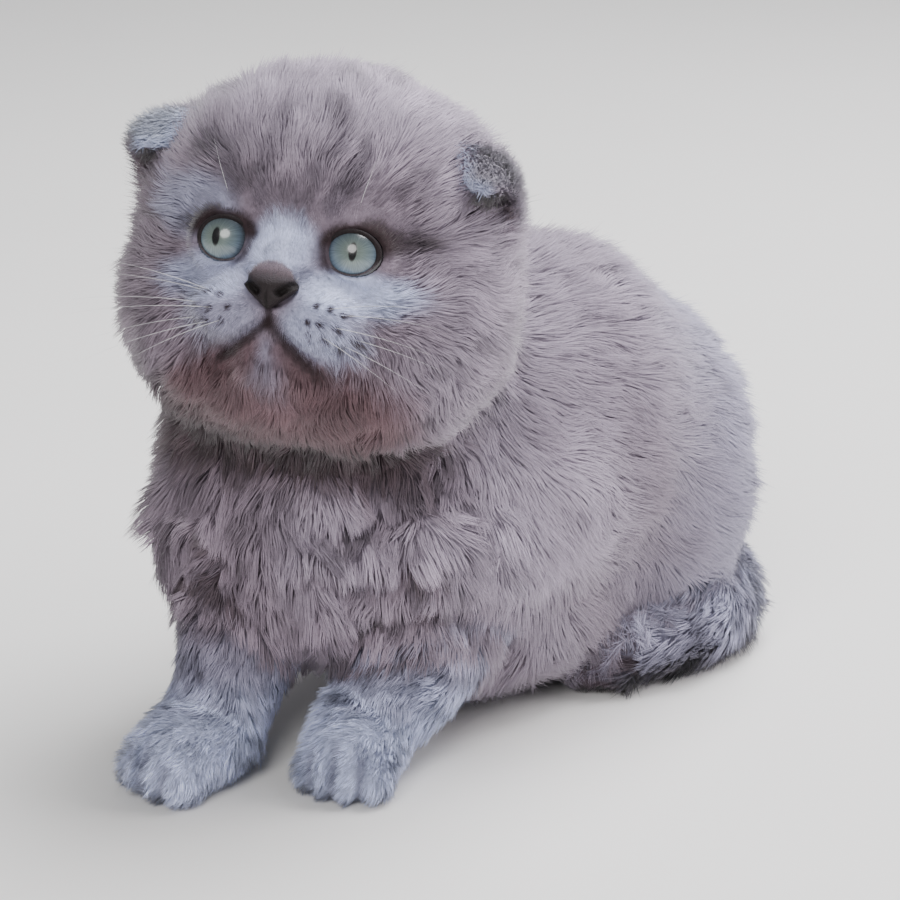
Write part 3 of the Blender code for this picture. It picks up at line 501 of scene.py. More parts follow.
def coat_tone(points, part):
    """The colour of the coat at points of the row's frame, each on the named part, with painted light and shade in
    it.
    """
    q = points_in(HEAD, points) * 1000
    p = points_in(STANCE, points) * 1000
    (qx, qy, qz), (px, py, pz) = q.T, p.T
    kind = kinds_of(part)
    head = (kind == "head") * 1.0
    body = 1 - head
    front = ramp(-qy, 4.0, 16.0) * head
    jaw = head * fall(qx, 14.0, 30.0)
    back = px * 0.8 + py * 0.6
    bands = 0.5 + 0.5 * np.sin(px * 0.34 + pz * 0.10 + 1.2)
    layers = [
        # Painted light: the crown and the kitten's left side of the head, towards the lamps, are paler where the
        # light falls.
        (PALE, ramp(qz, 8.0, 30.0) * head * 0.90),
        (PALE, ramp(qx, 18.0, 34.0) * head * 0.6),
        # Painted shade: the lower face and the underside of the jaw are darker where the head overhangs the chest.
        (DUSK, ramp(-qz, 20.0, 36.0) * front * 0.64),
        (DUSK, ramp(-qz, 24.0, 33.0) * jaw * 0.92),
        (UMBER, ramp(-qz, 30.0, 36.0) * jaw * 0.5),
        # Painted light: the back and flanks are paler where the light falls, broken by the faint bars of the ghost
        # tabby.
        (PALE, ramp(back, -40.0, -2.0) * body * (0.80 - 0.38 * bands * ramp(90.0 - pz, 0.0, 30.0))),
    ]
    # Painted light: paler pools on the shoulder and chest.
    for place, reach, share in PAINTED_LIGHT_PATCHES:
        layers.append((PALE * 1.30, fall(size_of(p - np.array(place)), 0.3 * reach, reach) * share * body))
    # Painted light: a silvery sheen on the far back and the rump.
    layers.append((SILVER, ramp(back, 30.0, 75.0) * body * 0.32))
    for colour, share, (x, z), (wide, high) in FACE_PATCHES:
        spread = np.hypot((qx - x) / wide, (qz - z) / high)
        layers.append((colour, share * front * fall(spread, 0.55, 1.25)))
    for colour, share, width, line in FACE_MARKS_AND_SHADE:
        away = away_from(q[:, [0, 2]], line)
        layers.append((colour, share * front * fall(away, width * 0.35, width * 1.3)))
    for name, eye_frame in eye_frames.items():
        local = points_in(eye_frame, points)
        share = opening_share(local, name)
        outwards = local[:, 0] * np.sign(EYE_PLACES[name][0]) / OPENING_HALF[0]
        upper = ramp((local[:, 2] - OPENINGS[name][1]) / OPENING_HALF[1], -0.6, 0.5)
        upper = np.maximum(upper, 0.6 * ramp(-outwards, 0.3, 1.0))
        outer = ramp(outwards, 0.0, 0.9) * upper
        liner = fall(share, 1.04 + 0.22 * upper + 0.25 * outer, 1.20 + 0.55 * upper + 0.70 * outer)
        layers.append((UMBER, liner * (0.30 + 0.68 * upper) * head))
    foreleg, forepaw, tail, hind_leg = (kind == one for one in ("foreleg", "forepaw", "tail", "hind_leg"))
    leg = foreleg * fall(pz, 20.0, 44.0)
    leg_bars = 0.5 + 0.5 * np.sin(pz * 0.62 + py * 0.26)
    tail_bars = 0.5 + 0.5 * np.sin(py * 0.42)
    # Painted shade on the undersides of the tail and of the thigh, low by the floor.
    under = tail * fall(pz, 3.0, 9.0) + hind_leg * fall(pz, 8.0, 22.0) * ramp(px, 0.0, 10.0)
    # Painted shadow of the chin on the top of the chest, where the head overhangs it.
    chin_shadow = fall(-qz, 40.0, 50.0) * fall(py, -14.0, 8.0) * fall(px, -14.0, 8.0)
    layers += [
        (SILVER, (0.50 + 0.45 * fall(pz, 12.0, 26.0)) * np.maximum(forepaw, leg)),
        (FROST, forepaw * (0.30 + 0.25 * ramp(-px, 36.0, 50.0))),
        (SMOKE, leg_bars * leg * 0.42 * ramp(pz, 12.0, 20.0)),
        # Painted shade on the tops of the forelegs, where they pass under the chest's fur.
        (DUSK, foreleg * ramp(pz, 22.0, 40.0) * fall(px, -12.0, 4.0) * 0.72),
        (SILVER, tail * 0.30),
        (SMOKE, tail * 0.42 * tail_bars),
        (DUSK, tail * fall(size_of(p - np.array(TAIL_TIP)), 4.0, 13.0) * 0.6),
        # Painted shadow on the left hind foot, under the flank and the tail's tip.
        (DUSK, (kind == "hind_foot") * 0.80 * ramp(px, 16.0, 26.0)),
        (DUSK, under.clip(0, 1) * 0.75),
        (DUSK, chin_shadow * body * 0.94),
    ]
    # Painted shadow under the folded ears.
    for place, share in PAINTED_EAR_SHADOWS:
        layers.append((DUSK, fall(size_of(q - np.array(place)), 2.0, 6.0) * share * head))
    # Painted shade in the creases of the chest's fur.
    layers += [(DUSK, beside(p / 1000, line, FOLD_WIDTH * 0.8) * body * 0.75) for line in FOLDS]
    # Painted shade between the toes.
    layers += [(DUSK, beside(p[:, :2] / 1000, line, TOE_WIDTH) * forepaw * 0.50) for line in TOE_GAPS]
    tone = MAUVE
    for colour, share in layers:
        tone = blend(tone, colour, share)
    return np.clip(tone, 0.01, 1.0)


def spotted(tone, points):
    """Darkens the small spots that the whiskers grow from and the line of the lips."""
    q = points_in(HEAD, points)
    dark = np.zeros(len(q))
    for x, z in SPOTS:
        away = np.hypot(q[:, 0] * 1000 - x, q[:, 2] * 1000 - z)
        dark = np.maximum(dark, 0.95 * fall(away, SPOT_RADIUS * 0.6, SPOT_RADIUS * 1.6))
    dark *= ramp(-q[:, 1], 0.024, 0.028)
    faint = 1 - 0.5 * ramp(abs(q[:, 0]), 0.005, 0.011)
    for line in MOUTH:
        dark = np.maximum(dark, fall(away_from(q, line), MOUTH_WIDTH * 0.3, MOUTH_WIDTH * 1.4) * faint)
    return blend(tone, UMBER, dark)


def set_colours(mesh, colours):
    """Keeps one colour for each point of a mesh."""
    layer = mesh.attributes.new("tone", "FLOAT_COLOR", "POINT")
    layer.data.foreach_set("color", np.c_[colours, np.ones(len(colours))].astype(np.float32).ravel())


hide, shader = new_finish("hide", 0.9, Specular_IOR_Level=0.15)
# Painted shade: the skin under the coat is darkened by a fine noise, to between 0.72 and 1 of its colour, so that it
# shows as shade between the hairs. The same noise bumps it.
mottle = mottled(shader, kept(shader, "tone"), 900.0, 0.72, 1.0)
fed(shader, Normal=added(shader, "Bump", "Normal", Height=mottle, Strength=0.6, Distance=0.0004))
skin.data.materials.clear()
skin.data.materials.append(hide)
set_colours(skin.data, spotted(coat_tone(skin_points, skin_part), skin_points))
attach(skin, "root")
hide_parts(*FLESH)
skin_tree = BVHTree.FromPolygons(
    [Vector(point) for point in skin_points], [tuple(face.vertices) for face in skin.data.polygons]
)

# ================ ears
# Small ears that rise from the sides of the crown and fold forward and down, so that the tip hides the cup. Each is
# a thin bent shell of cartilage and hide, rooted in the head under the coat. Its rows run from the root to the tip.

EAR_ROWS = metres((
    ((21.5, -2.0, 19.5), (27.5, 6.0, 15.0), (32.5, 3.0, 4.5)),
    ((24.0, -5.0, 23.5), (31.0, 4.0, 18.5), (35.5, 1.5, 7.0)),
    ((26.2, -7.0, 26.6), (34.5, 0.5, 22.6), (38.8, -1.0, 10.0)),
    ((28.0, -10.0, 27.2), (36.2, -5.5, 22.8), (40.0, -4.5, 14.2)),
    ((30.3, -13.5, 25.2), (37.2, -11.0, 21.0), (39.4, -10.8, 16.8)),
    ((33.5, -16.8, 17.8), (35.0, -16.8, 16.6), (36.6, -16.0, 15.8)),
))
EAR_THICKNESS = 0.0013
EAR_STAND = (-0.0004, -0.0004, 0.0004, 0.0016)
EAR_REACH = {"ear_left": (0.0, 0.0), "ear_right": (0.0012, 0.0014)}
EAR_GRID = (12, 20)
EAR_TONES = {"ear_left": (0.285, 0.265, 0.315), "ear_right": (0.360, 0.385, 0.480)}
EAR_INSIDE = (0.200, 0.155, 0.180)


def on_curve(points, share):
    """A place on a smooth curve through the given points, at a share of its length from 0 to 1."""
    padded = [points[0] * 2 - points[1], *points, points[-1] * 2 - points[-2]]
    run = min(int(share * (len(points) - 1)), len(points) - 2)
    t = share * (len(points) - 1) - run
    before, start, end, after = padded[run : run + 4]
    bend = (2 * before - 5 * start + 4 * end - after) * t * t
    return 0.5 * (2 * start + (end - before) * t + bend + (3 * start - before - 3 * end + after) * t**3)


def add_piece(name, shape, finish):
    """A smooth piece of the kitten with its finish."""
    piece = add_object(name, shape, finish)
    piece.data.shade_smooth()
    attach(piece, "root")
    return piece


ears = {}
for name, side in (("ear_left", 1), ("ear_right", -1)):
    columns = [[], [], []]
    for i, row in enumerate(EAR_ROWS):
        fold = min(1.0, max(0, i - 1) / 2)
        for column, (x, y, z) in zip(columns, row):
            x, z = x + EAR_REACH[name][0] * fold, z + EAR_REACH[name][1] * fold
            column.append(HEAD @ Vector((x * side, y, z)))
    for i in range(2, len(EAR_ROWS)):
        place, normal, _, _ = skin_tree.find_nearest(columns[0][i])
        columns[0][i] = place + normal * EAR_STAND[i - 2]
    shell = bmesh.new()
    bmesh.ops.create_grid(shell, x_segments=EAR_GRID[0], y_segments=EAR_GRID[1], size=0.5)
    for point in shell.verts:
        across, up = point.co.x + 0.5, point.co.y + 0.5
        point.co = on_curve([on_curve(column, up) for column in columns], across)
    shell.normal_update()
    outward = HEAD.to_3x3() @ Vector((side, 0.0, 0.3))
    if sum(face.normal.dot(outward) * face.calc_area() for face in shell.faces) < 0:
        bmesh.ops.reverse_faces(shell, faces=shell.faces[:])
    bmesh.ops.solidify(shell, geom=shell.faces[:], thickness=EAR_THICKNESS)
    bmesh.ops.recalc_face_normals(shell, faces=shell.faces[:])
    shell.faces.index_update()
    walls = 2 * EAR_GRID[0] * EAR_GRID[1]  # the faces of the edge come after these, in no fixed order until sorted
    shell.faces.sort(key=lambda face: face.index if face.index < walls else walls + face.calc_center_median().z)
    ear = add_piece(name + "_shell", shell, hide)
    outside = np.arange(len(ear.data.vertices)) < (EAR_GRID[0] + 1) * (EAR_GRID[1] + 1)
    row, column = np.divmod(np.arange(len(outside)) % outside.sum(), EAR_GRID[0] + 1)
    up, across = row / EAR_GRID[1], column / EAR_GRID[0]
    flap = ramp(up, 0.48, 0.62) * fall(across, 0.70, 1.0)
    rim = fall(across, 0.02, 0.25) * ramp(up, 0.50, 0.65)
    ear_tone = blend(PALE, np.array(EAR_TONES[name]), flap)
    ear_tone = blend(ear_tone, SILVER, np.maximum(rim, ramp(up, 0.90, 1.0)) * 0.8)
    ear_tone[~outside] = EAR_INSIDE
    set_colours(ear.data, ear_tone)
    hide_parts(name)
    ears[name] = (ear, columns, outside, up, ear_tone)

# ================ eyes
# Round grey-green eyes with upright slit pupils. Each is a moist ball with a domed clear cornea, whose coloured iris
# fills the whole opening of the lids. It sits in the head behind the lids' rims.

CORNEA_RISE = 0.0004
PUPIL_PLACES = {"eye_left": (-0.0006, 0.0002), "eye_right": (0.0004, 0.0001)}
PUPIL_HALF = (0.14, 0.33)
IRIS_RADIUS = 0.0054
IRIS_RINGS = (
    (0.00, (0.100, 0.125, 0.100)), (0.35, (0.134, 0.172, 0.160)), (0.66, (0.118, 0.160, 0.180)),
    (0.80, (0.080, 0.115, 0.150)), (0.92, (0.030, 0.040, 0.055)), (1.00, (0.010, 0.009, 0.011)),
)
# Painted light and shadow on the iris: lighter low down and darker towards the top, as in the shade of the upper
# lid. Two heights of the gaze and the lightness at each.
IRIS_PAINTED_SHADING = (-0.40, 0.66, 1.26, 0.30)
OUT_OF_SIGHT = Vector((2.0, 0.0, 0.0))

wet, shader = new_finish("wet eye", 0.25, Coat_Weight=0.8, Coat_Roughness=0.09, Specular_IOR_Level=0.5)
gaze = kept(shader, "gaze", "Vector")
rings = added(shader, "ValToRGB", "Color", Fac=vector(shader, "LENGTH", "Value", _0=gaze))
stops = rings.node.color_ramp.elements
for place, colour in IRIS_RINGS[1:-1]:
    stops.new(place)
for stop, (place, colour) in zip(stops, IRIS_RINGS):
    stop.color = (*colour, 1.0)
spokes = vector(shader, "SCALE", _0=vector(shader, "NORMALIZE", _0=gaze), Scale=9.0)
slow = vector(shader, "MULTIPLY_ADD", _0=gaze, _1=(1.2, 1.2, 1.2), _2=spokes)
fibres = added(shader, "TexNoise", "Fac", Vector=slow, Scale=1.6, Detail=4.0, Roughness=0.6)
slit = vector(shader, "MULTIPLY", _0=gaze, _1=(1 / PUPIL_HALF[0], 1 / PUPIL_HALF[1], 0.0))
slit_reach = vector(shader, "LENGTH", "Value", _0=slit)
height = added(shader, "SeparateXYZ", "Y", Vector=gaze)
iris = rings
for share in (
    stretched(shader, fibres, 0.3, 0.7, 0.74, 1.22),
    stretched(shader, slit_reach, 0.85, 1.2, 0.0, 1.0, "SMOOTHSTEP"),
    # The iris lightened low down and darkened near the top: painted light and the painted shadow of the upper lid.
    stretched(shader, height, *IRIS_PAINTED_SHADING),
):
    iris = vector(shader, "SCALE", _0=iris, Scale=share)
fed(shader, Base_Color=iris)

for name, eye_frame in eye_frames.items():
    ball = bmesh.new()
    bmesh.ops.create_uvsphere(ball, u_segments=96, v_segments=64, radius=EYE_RADIUS)
    bmesh.ops.rotate(ball, verts=ball.verts[:], matrix=Matrix.Rotation(math.pi / 2, 3, "X"))
    px, pz = PUPIL_PLACES[name]
    gazes = []
    for point in ball.verts:
        offset = Vector((point.co.x - px, point.co.z - pz, 0.0)) / IRIS_RADIUS
        gazes.append(offset if point.co.y < 0 else OUT_OF_SIGHT)
        dome = max(0.0, 1 - gazes[-1].length_squared)
        point.co *= 1 + CORNEA_RISE / EYE_RADIUS * dome * dome
    bmesh.ops.transform(ball, verts=ball.verts[:], matrix=eye_frame)
    eye = add_piece(name + "_ball", ball, wet)
    layer = eye.data.attributes.new("gaze", "FLOAT_VECTOR", "POINT")
    layer.data.foreach_set("vector", np.array(gazes, np.float32).ravel())
    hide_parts(name)

# ================ eyelids
# Each eye is framed by soft lids. Their dark rims are bare moist skin, thick above the eye like a drawn line and
# thin below it. Each ring of lids closes on the ball and is bedded in the skin behind its crest.

LID_POINTS = 72
LOWER_TONE = np.array((0.070, 0.058, 0.066))
UPPER_TONE = np.array((0.013, 0.009, 0.010))
UPPER_RIM = 0.00055
LOWER_RIM = 0.00014
CORNER_RIM = 0.0005
LID_RINGS = (
    (-0.30, -0.0006), (-0.10, 0.00008), (0.15, 0.00035), (0.55, 0.00058), (1.0, 0.00058), (1.6, 0.0001),
    (0.5, -0.0009),
)

lid_hide, shader = new_finish("lid rim", 0.60, Specular_IOR_Level=0.15)
mottled(shader, kept(shader, "tone"), 2600.0, 0.6, 1.5)


def bridge(shape, low, high):
    """Joins two rings of points by a band of faces."""
    rings = (set(low), set(high))
    edges = {edge for point in (*low, *high) for edge in point.link_edges}
    bmesh.ops.bridge_loops(shape, edges=[edge for edge in edges if any(set(edge.verts) <= ring for ring in rings)])


for name, eye_frame in eye_frames.items():
    cx, cz = OPENINGS[name]
    rings = bmesh.new()
    loops = []
    for grow, lift in LID_RINGS:
        loop = bmesh.ops.create_circle(rings, segments=LID_POINTS, radius=1.0)["verts"]
        for i, point in enumerate(loop):
            angle = 2 * math.pi * i / LID_POINTS
            upper = 0.5 + 0.5 * math.sin(angle)
            rim = LOWER_RIM + (UPPER_RIM - LOWER_RIM) * upper * upper * (3 - 2 * upper)
            outer = max(0.0, math.cos(angle) * (1 if name == "eye_left" else -1))
            rim = (rim + CORNER_RIM * outer**6 * upper) * grow
            x = cx + (OPENING_HALF[0] + rim) * math.cos(angle)
            z = cz + (OPENING_HALF[1] + rim) * math.sin(angle)
            depth = math.sqrt(max(EYE_RADIUS**2 - x * x - z * z, 1e-10))
            point.co = eye_frame @ (Vector((x, -depth, z)) * (1 + lift / EYE_RADIUS))
        loops.append(loop)
    for inner, outer in zip(loops, [*loops[1:], loops[0]]):
        bridge(rings, inner, outer)
    bmesh.ops.recalc_face_normals(rings, faces=rings.faces[:])
    bmesh.ops.subdivide_edges(rings, edges=rings.edges[:], cuts=1, use_grid_fill=True)
    lids = add_piece(name.replace("eye", "lids"), rings, lid_hide)
    heights = points_in(eye_frame, read_points(lids.data))[:, 2]
    set_colours(lids.data, blend(LOWER_TONE, UPPER_TONE, ramp(heights, -0.0036, -0.0004)))

# ================ nose leather
# Bare dark leather at the tip of the muzzle, finely pebbled and a little moist: a broad pad above, two comma-shaped
# nostrils at its sides, and a narrow foot with a groove that runs down into the lip. Its dents are in millimetres.

NOSTRIL = ((2.3, -1.0), (3.4, -0.2), (4.4, 0.5), (5.3, 0.9))
NOSTRIL_DROP = 1.9
NOSTRIL_WIDTH = 0.85
GROOVE_DROP = 0.35
WING_RISE = 0.45
LEATHER_LOW = np.array((0.014, 0.009, 0.010))
LEATHER_TOP = np.array((0.052, 0.042, 0.050))
# Painted shade: the nostrils and the groove of the nose are darkened where they dip in.
LEATHER_DENT_SHADE = np.array((0.004, 0.002, 0.002))

leather, shader = new_finish("nose leather", 0.55, Specular_IOR_Level=0.25)
place = added(shader, "TexCoord", "Object")
pebbles = added(shader, "TexVoronoi", "Distance", Vector=place, Scale=3800.0)
relief = added(shader, "Bump", "Normal", Height=pebbles, Strength=0.7, Distance=0.0002)
fed(shader, Base_Color=kept(shader, "tone"), Normal=relief)

pad = bmesh.new()
bmesh.ops.create_icosphere(pad, subdivisions=6, radius=1.0)
dents = []
for point in pad.verts:
    x, y, z = point.co
    foot = max(0.0, -z)
    wide = (1 - 0.72 * foot**1.1) * (1 - 0.16 * max(0.0, z))
    spot = np.array([[abs(x) * wide * NOSE_HALF.x * 1000, z * NOSE_HALF.z * 1000]])
    dent = beside(spot, NOSTRIL, NOSTRIL_WIDTH)[0] * (y < 0.3)
    groove = math.exp(-((x * wide / 0.07) ** 2)) * (y < 0) * min(1.0, foot * 2)
    wing = math.exp(-(((abs(x) - 0.75) / 0.22) ** 2) - ((z - 0.05) / 0.35) ** 2) * (y < 0)
    dents.append(max(dent, groove * 0.6))
    flat = 1 - 0.62 * max(0.0, z) ** 1.6
    push = (NOSTRIL_DROP * dent + GROOVE_DROP * groove - WING_RISE * wing) / 1000
    point.co = Vector((x * wide * NOSE_HALF.x, y * NOSE_HALF.y * flat + push, z * NOSE_HALF.z))
bmesh.ops.transform(pad, verts=pad.verts[:], matrix=HEAD @ Matrix.Translation(NOSE_CENTRE))
nose = add_piece("nose_leather", pad, leather)
heights = points_in(HEAD, read_points(nose.data))[:, 2]
nose_tone = blend(LEATHER_LOW, LEATHER_TOP, ramp(heights, -0.0086, -0.0060))
# The dents of the nostrils and the groove get the painted shade.
set_colours(nose.data, blend(nose_tone, LEATHER_DENT_SHADE, ramp(np.array(dents), 0.10, 0.60)))
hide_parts("nose")

# ================ coat
# The coat is plush: dense soft hair, short on face and feet and longer on the cheeks, chest and flanks. Each hair
# tuft is a closed three-sided blade, rooted in the skin, which rises and then bends to lie along the coat. Tufts
# close together draw to one tip, as soft hair does, and the lie follows lines combed over each part.

draw = np.random.default_rng(21)
THINNING = 1.0
COAT = {  # length, width, tufts a square millimetre, rise of the root and of the tip in degrees, pull of the locks
    "head": (0.0069, 0.00024, 4.2, 47, 25, 0.30), "neck": (0.0092, 0.00030, 3.0, 46, 26, 0.40),
    "torso": (0.0092, 0.00031, 3.0, 44, 23, 0.28), "tail": (0.0092, 0.00028, 3.8, 44, 20, 0.40),
    "foreleg": (0.0054, 0.00024, 5.2, 42, 18, 0.42), "forepaw": (0.0037, 0.00021, 9.0, 54, 32, 0.30),
    "hind_leg": (0.0086, 0.00030, 3.0, 44, 23, 0.25), "hind_foot": (0.0034, 0.00021, 5.0, 36, 12, 0.2),
}
BEND = 0.42
BURIED = 0.0005
BLADE_FLOOR = 0.0001
SECTION = ((-0.5, -0.12), (0.0, 0.24), (0.5, -0.12))
# Lightness at the points of each blade, from root to tip: the pale tips are the coat's own, and the dark roots are
# painted shade deep in the coat.
BENT_ENDS = (-0.48, 0.0, 0.0, 0.0, 0.32)
BENT_MAP = ((0, -1), (-0.6, 0.1), (0, 0.4), (0.6, 0.1), (0, 1))
STRAIGHT_ENDS = (-0.30, -0.30, -0.30, 0.26)
STRAIGHT_MAP = ((-0.6, -1), (0, -0.7), (0.6, -1), (0, 1))
STRAIGHT_BELOW = 0.0036
PATCH = 0.0015
COMB_REACH = 0.015
EYE_FRONT = 0.007
TRUNK = metres((
    ((-5, 12, 112), (12, 30, 106), (30, 45, 92), (50, 65, 70), (60, 80, 40)),
    ((20, -5, 85), (40, 15, 75), (58, 40, 55), (68, 55, 30)),
    ((20, -15, 60), (35, 0, 42), (46, 12, 20)),
    ((0, -30, 85), (8, -30, 60), (5, -25, 35)),
    ((-30, -30, 85), (-33, -42, 60), (-30, -35, 35), (-25, -20, 18)),
    ((-55, -15, 85), (-66, -12, 60), (-60, -5, 35)),
    ((-50, 10, 85), (-30, 40, 70), (-5, 65, 55), (20, 85, 35)),
    ((-10, 0, 5), (30, 40, 0)),
    ((10, -2, 50), (0, -12, 32), (-10, -23, 19), (-18, -31, 10)),
    ((-44, 0, 55), (-45.5, -14, 38), (-48, -23, 23), (-53, -31, 12)),
))
COMBED = {
    "forepaw_left": metres((((-10, -23, 19), (-18, -31, 14), (-26, -41, 6)),)),
    "forepaw_right": metres((((-48, -23, 23), (-53, -31, 14), (-66, -43, 6)),)),
    "hind_foot_left": metres((((34, 46, 12), (36, 30, 10), (35, 12, 6)),)),
    "hind_foot_right": metres((((12, 76, 12), (-1, 66, 10), (-16, 54, 6)),)),
    "tail": metres((
        ((50, 68, 22), (59, 60, 13), (61.5, 48, 10.5), (57.5, 36, 9.8)),
        ((57.5, 36, 9.8), (50, 27, 9.5), (44, 20, 10.2), (38, 14.5, 11.8), (32, 10, 13)),
    )),
}


def unit(vectors):
    """Vectors brought to a length of 1."""
    return vectors / np.maximum(np.linalg.norm(vectors, axis=1, keepdims=True), 1e-12)


def along_surface(vectors, normals):
    """Directions laid flat on the surface."""
    return unit(vectors - normals * (vectors * normals).sum(axis=1, keepdims=True))


def combed(points, lines):
    """The direction at points of the row's frame near which lines of the chest's frame run."""
    places = points_in(STANCE, points)
    total = np.zeros_like(places)
    for line in lines:
        line = [Vector(point) for point in line]
        for start, end in zip(line, line[1:]):
            for middle in (start, (start + end) / 2, end):
                near = np.exp(-((places - np.array(middle)) ** 2).sum(axis=1) / COMB_REACH**2) + 1e-9
                total += near[:, None] * np.array((end - start).normalized())
    return unit(total) @ np.array(STANCE.to_3x3()).T


def eye_fronts(places):
    """How places of the head's frame lie from the front of each eye."""
    return [places - np.array((x, y - EYE_FRONT, z)) for x, y, z, _ in EYE_PLACES.values()]


def combed_lie(points, part):
    """The direction of the coat at points of the row's frame, each on the named part, before it is laid flat."""
    lie = combed(points, TRUNK)
    for name, lines in COMBED.items():
        lie[part == name] = combed(points[part == name], lines)
    head = part == "head"
    q = points_in(HEAD, points)[head]
    away = unit(q - NOSE_TIP)
    below = ramp(-q[:, 2], 0.012, 0.022) * ramp(-q[:, 1], 0.002, 0.018)
    away[:, 2] -= 1.1 * below
    away[:, 0] *= 1 - 0.4 * below
    away[:, 1] += 0.5 * ramp(q[:, 1], -0.010, 0.010)
    away[:, 2] -= 0.30 * ramp(q[:, 1], 0.000, 0.025)
    for offset in eye_fronts(q):
        away += unit(offset) * (2.2 * fall(size_of(offset), 0.005, 0.0105))[:, None]
    lie[head] = unit(away) @ np.array(HEAD.to_3x3()).T
    return lie


def scatter(mesh, points, number):
    """Random places on a mesh, as many for each square millimetre as asked. It gives the first corner of each one's
    triangle, a function that mixes values of the corners at those places, and the places on the mesh's map."""
    mesh.calc_loop_triangles()
    triangles = read(mesh.loop_triangles, "vertices", 3, np.int32)
    a, b, c = (points[triangles[:, k]] for k in range(3))
    weight = size_of(np.cross(b - a, c - a)) / 2 * 1e6 * number[triangles].mean(axis=1)
    count = int(weight.sum() * THINNING)
    chosen = np.searchsorted(np.cumsum(weight) / weight.sum(), draw.random(count))
    chosen = np.minimum(chosen, len(triangles) - 1)
    u, v = np.sqrt(draw.random(count)), draw.random(count)
    shares = np.c_[1 - u, u * (1 - v), u * v]

    def mixed(values, corners=triangles):
        values = values[corners[chosen]]
        return (values * (shares if values.ndim == 2 else shares[:, :, None])).sum(axis=1)

    layer = mesh.uv_layers.active
    places = mixed(read(layer.data, "uv", 2), read(mesh.loop_triangles, "loops", 3, np.int32)) if layer else None
    return triangles[chosen, 0], mixed, places


def raised(roots, normals, lean, length, rise_root, rise_tip):
    """The bends and the tips of hairs that rise at one angle and then bend to another."""
    first = lean * np.cos(rise_root)[:, None] + normals * np.sin(rise_root)[:, None]
    second = lean * np.cos(rise_tip)[:, None] + normals * np.sin(rise_tip)[:, None]
    middles = roots + first * (length * BEND)[:, None]
    return middles, middles + second * (length * (1 - BEND))[:, None]


def locks(roots, number, spacing):
    """For each root, the root that leads its lock: locks lie about this far apart, whatever the number of roots."""
    chance = 1 / number
    leaders = int(chance.sum() / (spacing * 1000) ** 2 / THINNING)
    leaders = draw.choice(len(roots), leaders, False, chance / chance.sum())
    tree = KDTree(len(leaders))
    for i in leaders:
        tree.insert(roots[i], int(i))
    tree.balance()
    return np.array([tree.find(root)[1] for root in roots])


def add_blades(name, blades, bent):
    """One piece of the coat: a closed blade at each root, with its colours and its patches of the bake's map."""
    roots, normals, middles, tips, width, tone, contrast, places = blades
    across = unit(unit(np.cross(normals, tips - roots)) + draw.normal(0, 0.35, roots.shape))
    upward = unit(np.cross(tips - roots, across))
    buried = roots - normals * BURIED
    base = middles if bent else buried
    ring = [base + (across * over + upward * out) * width[:, None] for over, out in SECTION]
    points = np.stack([buried, *ring, tips] if bent else [*ring, tips], axis=1)
    points[:, :, 2] = np.maximum(points[:, :, 2], BLADE_FLOOR)
    size = points.shape[1]
    first = size - 4
    one = [] if bent else [(0, 1, 2)]
    for a, b in ((0, 1), (1, 2), (2, 0)):
        one += [(first + b, first + a, size - 1)] + ([(a + 1, b + 1, 0)] if bent else [])
    faces = (np.arange(len(roots))[:, None, None] * size + np.array(one)).reshape(-1, 3)
    mesh = bpy.data.meshes.new(name)
    mesh.vertices.add(len(roots) * size)
    mesh.loops.add(faces.size)
    mesh.polygons.add(len(faces))
    mesh.vertices.foreach_set("co", points.astype(np.float32).ravel())
    mesh.loops.foreach_set("vertex_index", faces.astype(np.int32).ravel())
    mesh.polygons.foreach_set("loop_start", np.arange(0, faces.size, 3, dtype=np.int32))
    mesh.polygons.foreach_set("loop_total", np.full(len(faces), 3, np.int32))
    mesh.update(calc_edges=True)
    mesh.shade_smooth()
    soft = unit(read_normals(mesh) * 0.45 + np.repeat(normals, size, axis=0) * 0.85)
    mesh.normals_split_custom_set_from_vertices(soft)
    ends, corners = (BENT_ENDS, BENT_MAP) if bent else (STRAIGHT_ENDS, STRAIGHT_MAP)
    # Each blade is darker at its root, painted shade deep in the coat, and paler at its tip, as the coat's own tips
    # are.
    lightness = 1 + np.array(ends)[:, None] * contrast[:, None, None]
    set_colours(mesh, (tone[:, None, :] * lightness).reshape(-1, 3))
    places = (places[:, None, :] + np.array(corners) * PATCH).reshape(-1, 2)
    layer = mesh.uv_layers.new(name="OFBake")
    layer.data.foreach_set("uv", places[faces.ravel()].astype(np.float32).ravel())
    piece = add_object(name, mesh, plush)
    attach(piece, "root")


plush, shader = new_finish("plush coat", 0.75, Specular_IOR_Level=0.2, Sheen_Weight=0.28, Sheen_Roughness=0.5)
mottled(shader, kept(shader, "tone"), 1800.0, 0.90, 1.10)

# ================ coat of the body
# The hair of the head, trunk, legs and tail, rooted in the skin. It parts round the eyes and the nose leather, and
# is longest at the roots of the ears. Each piece of it holds the hairs nearest to a centre, in millimetres.

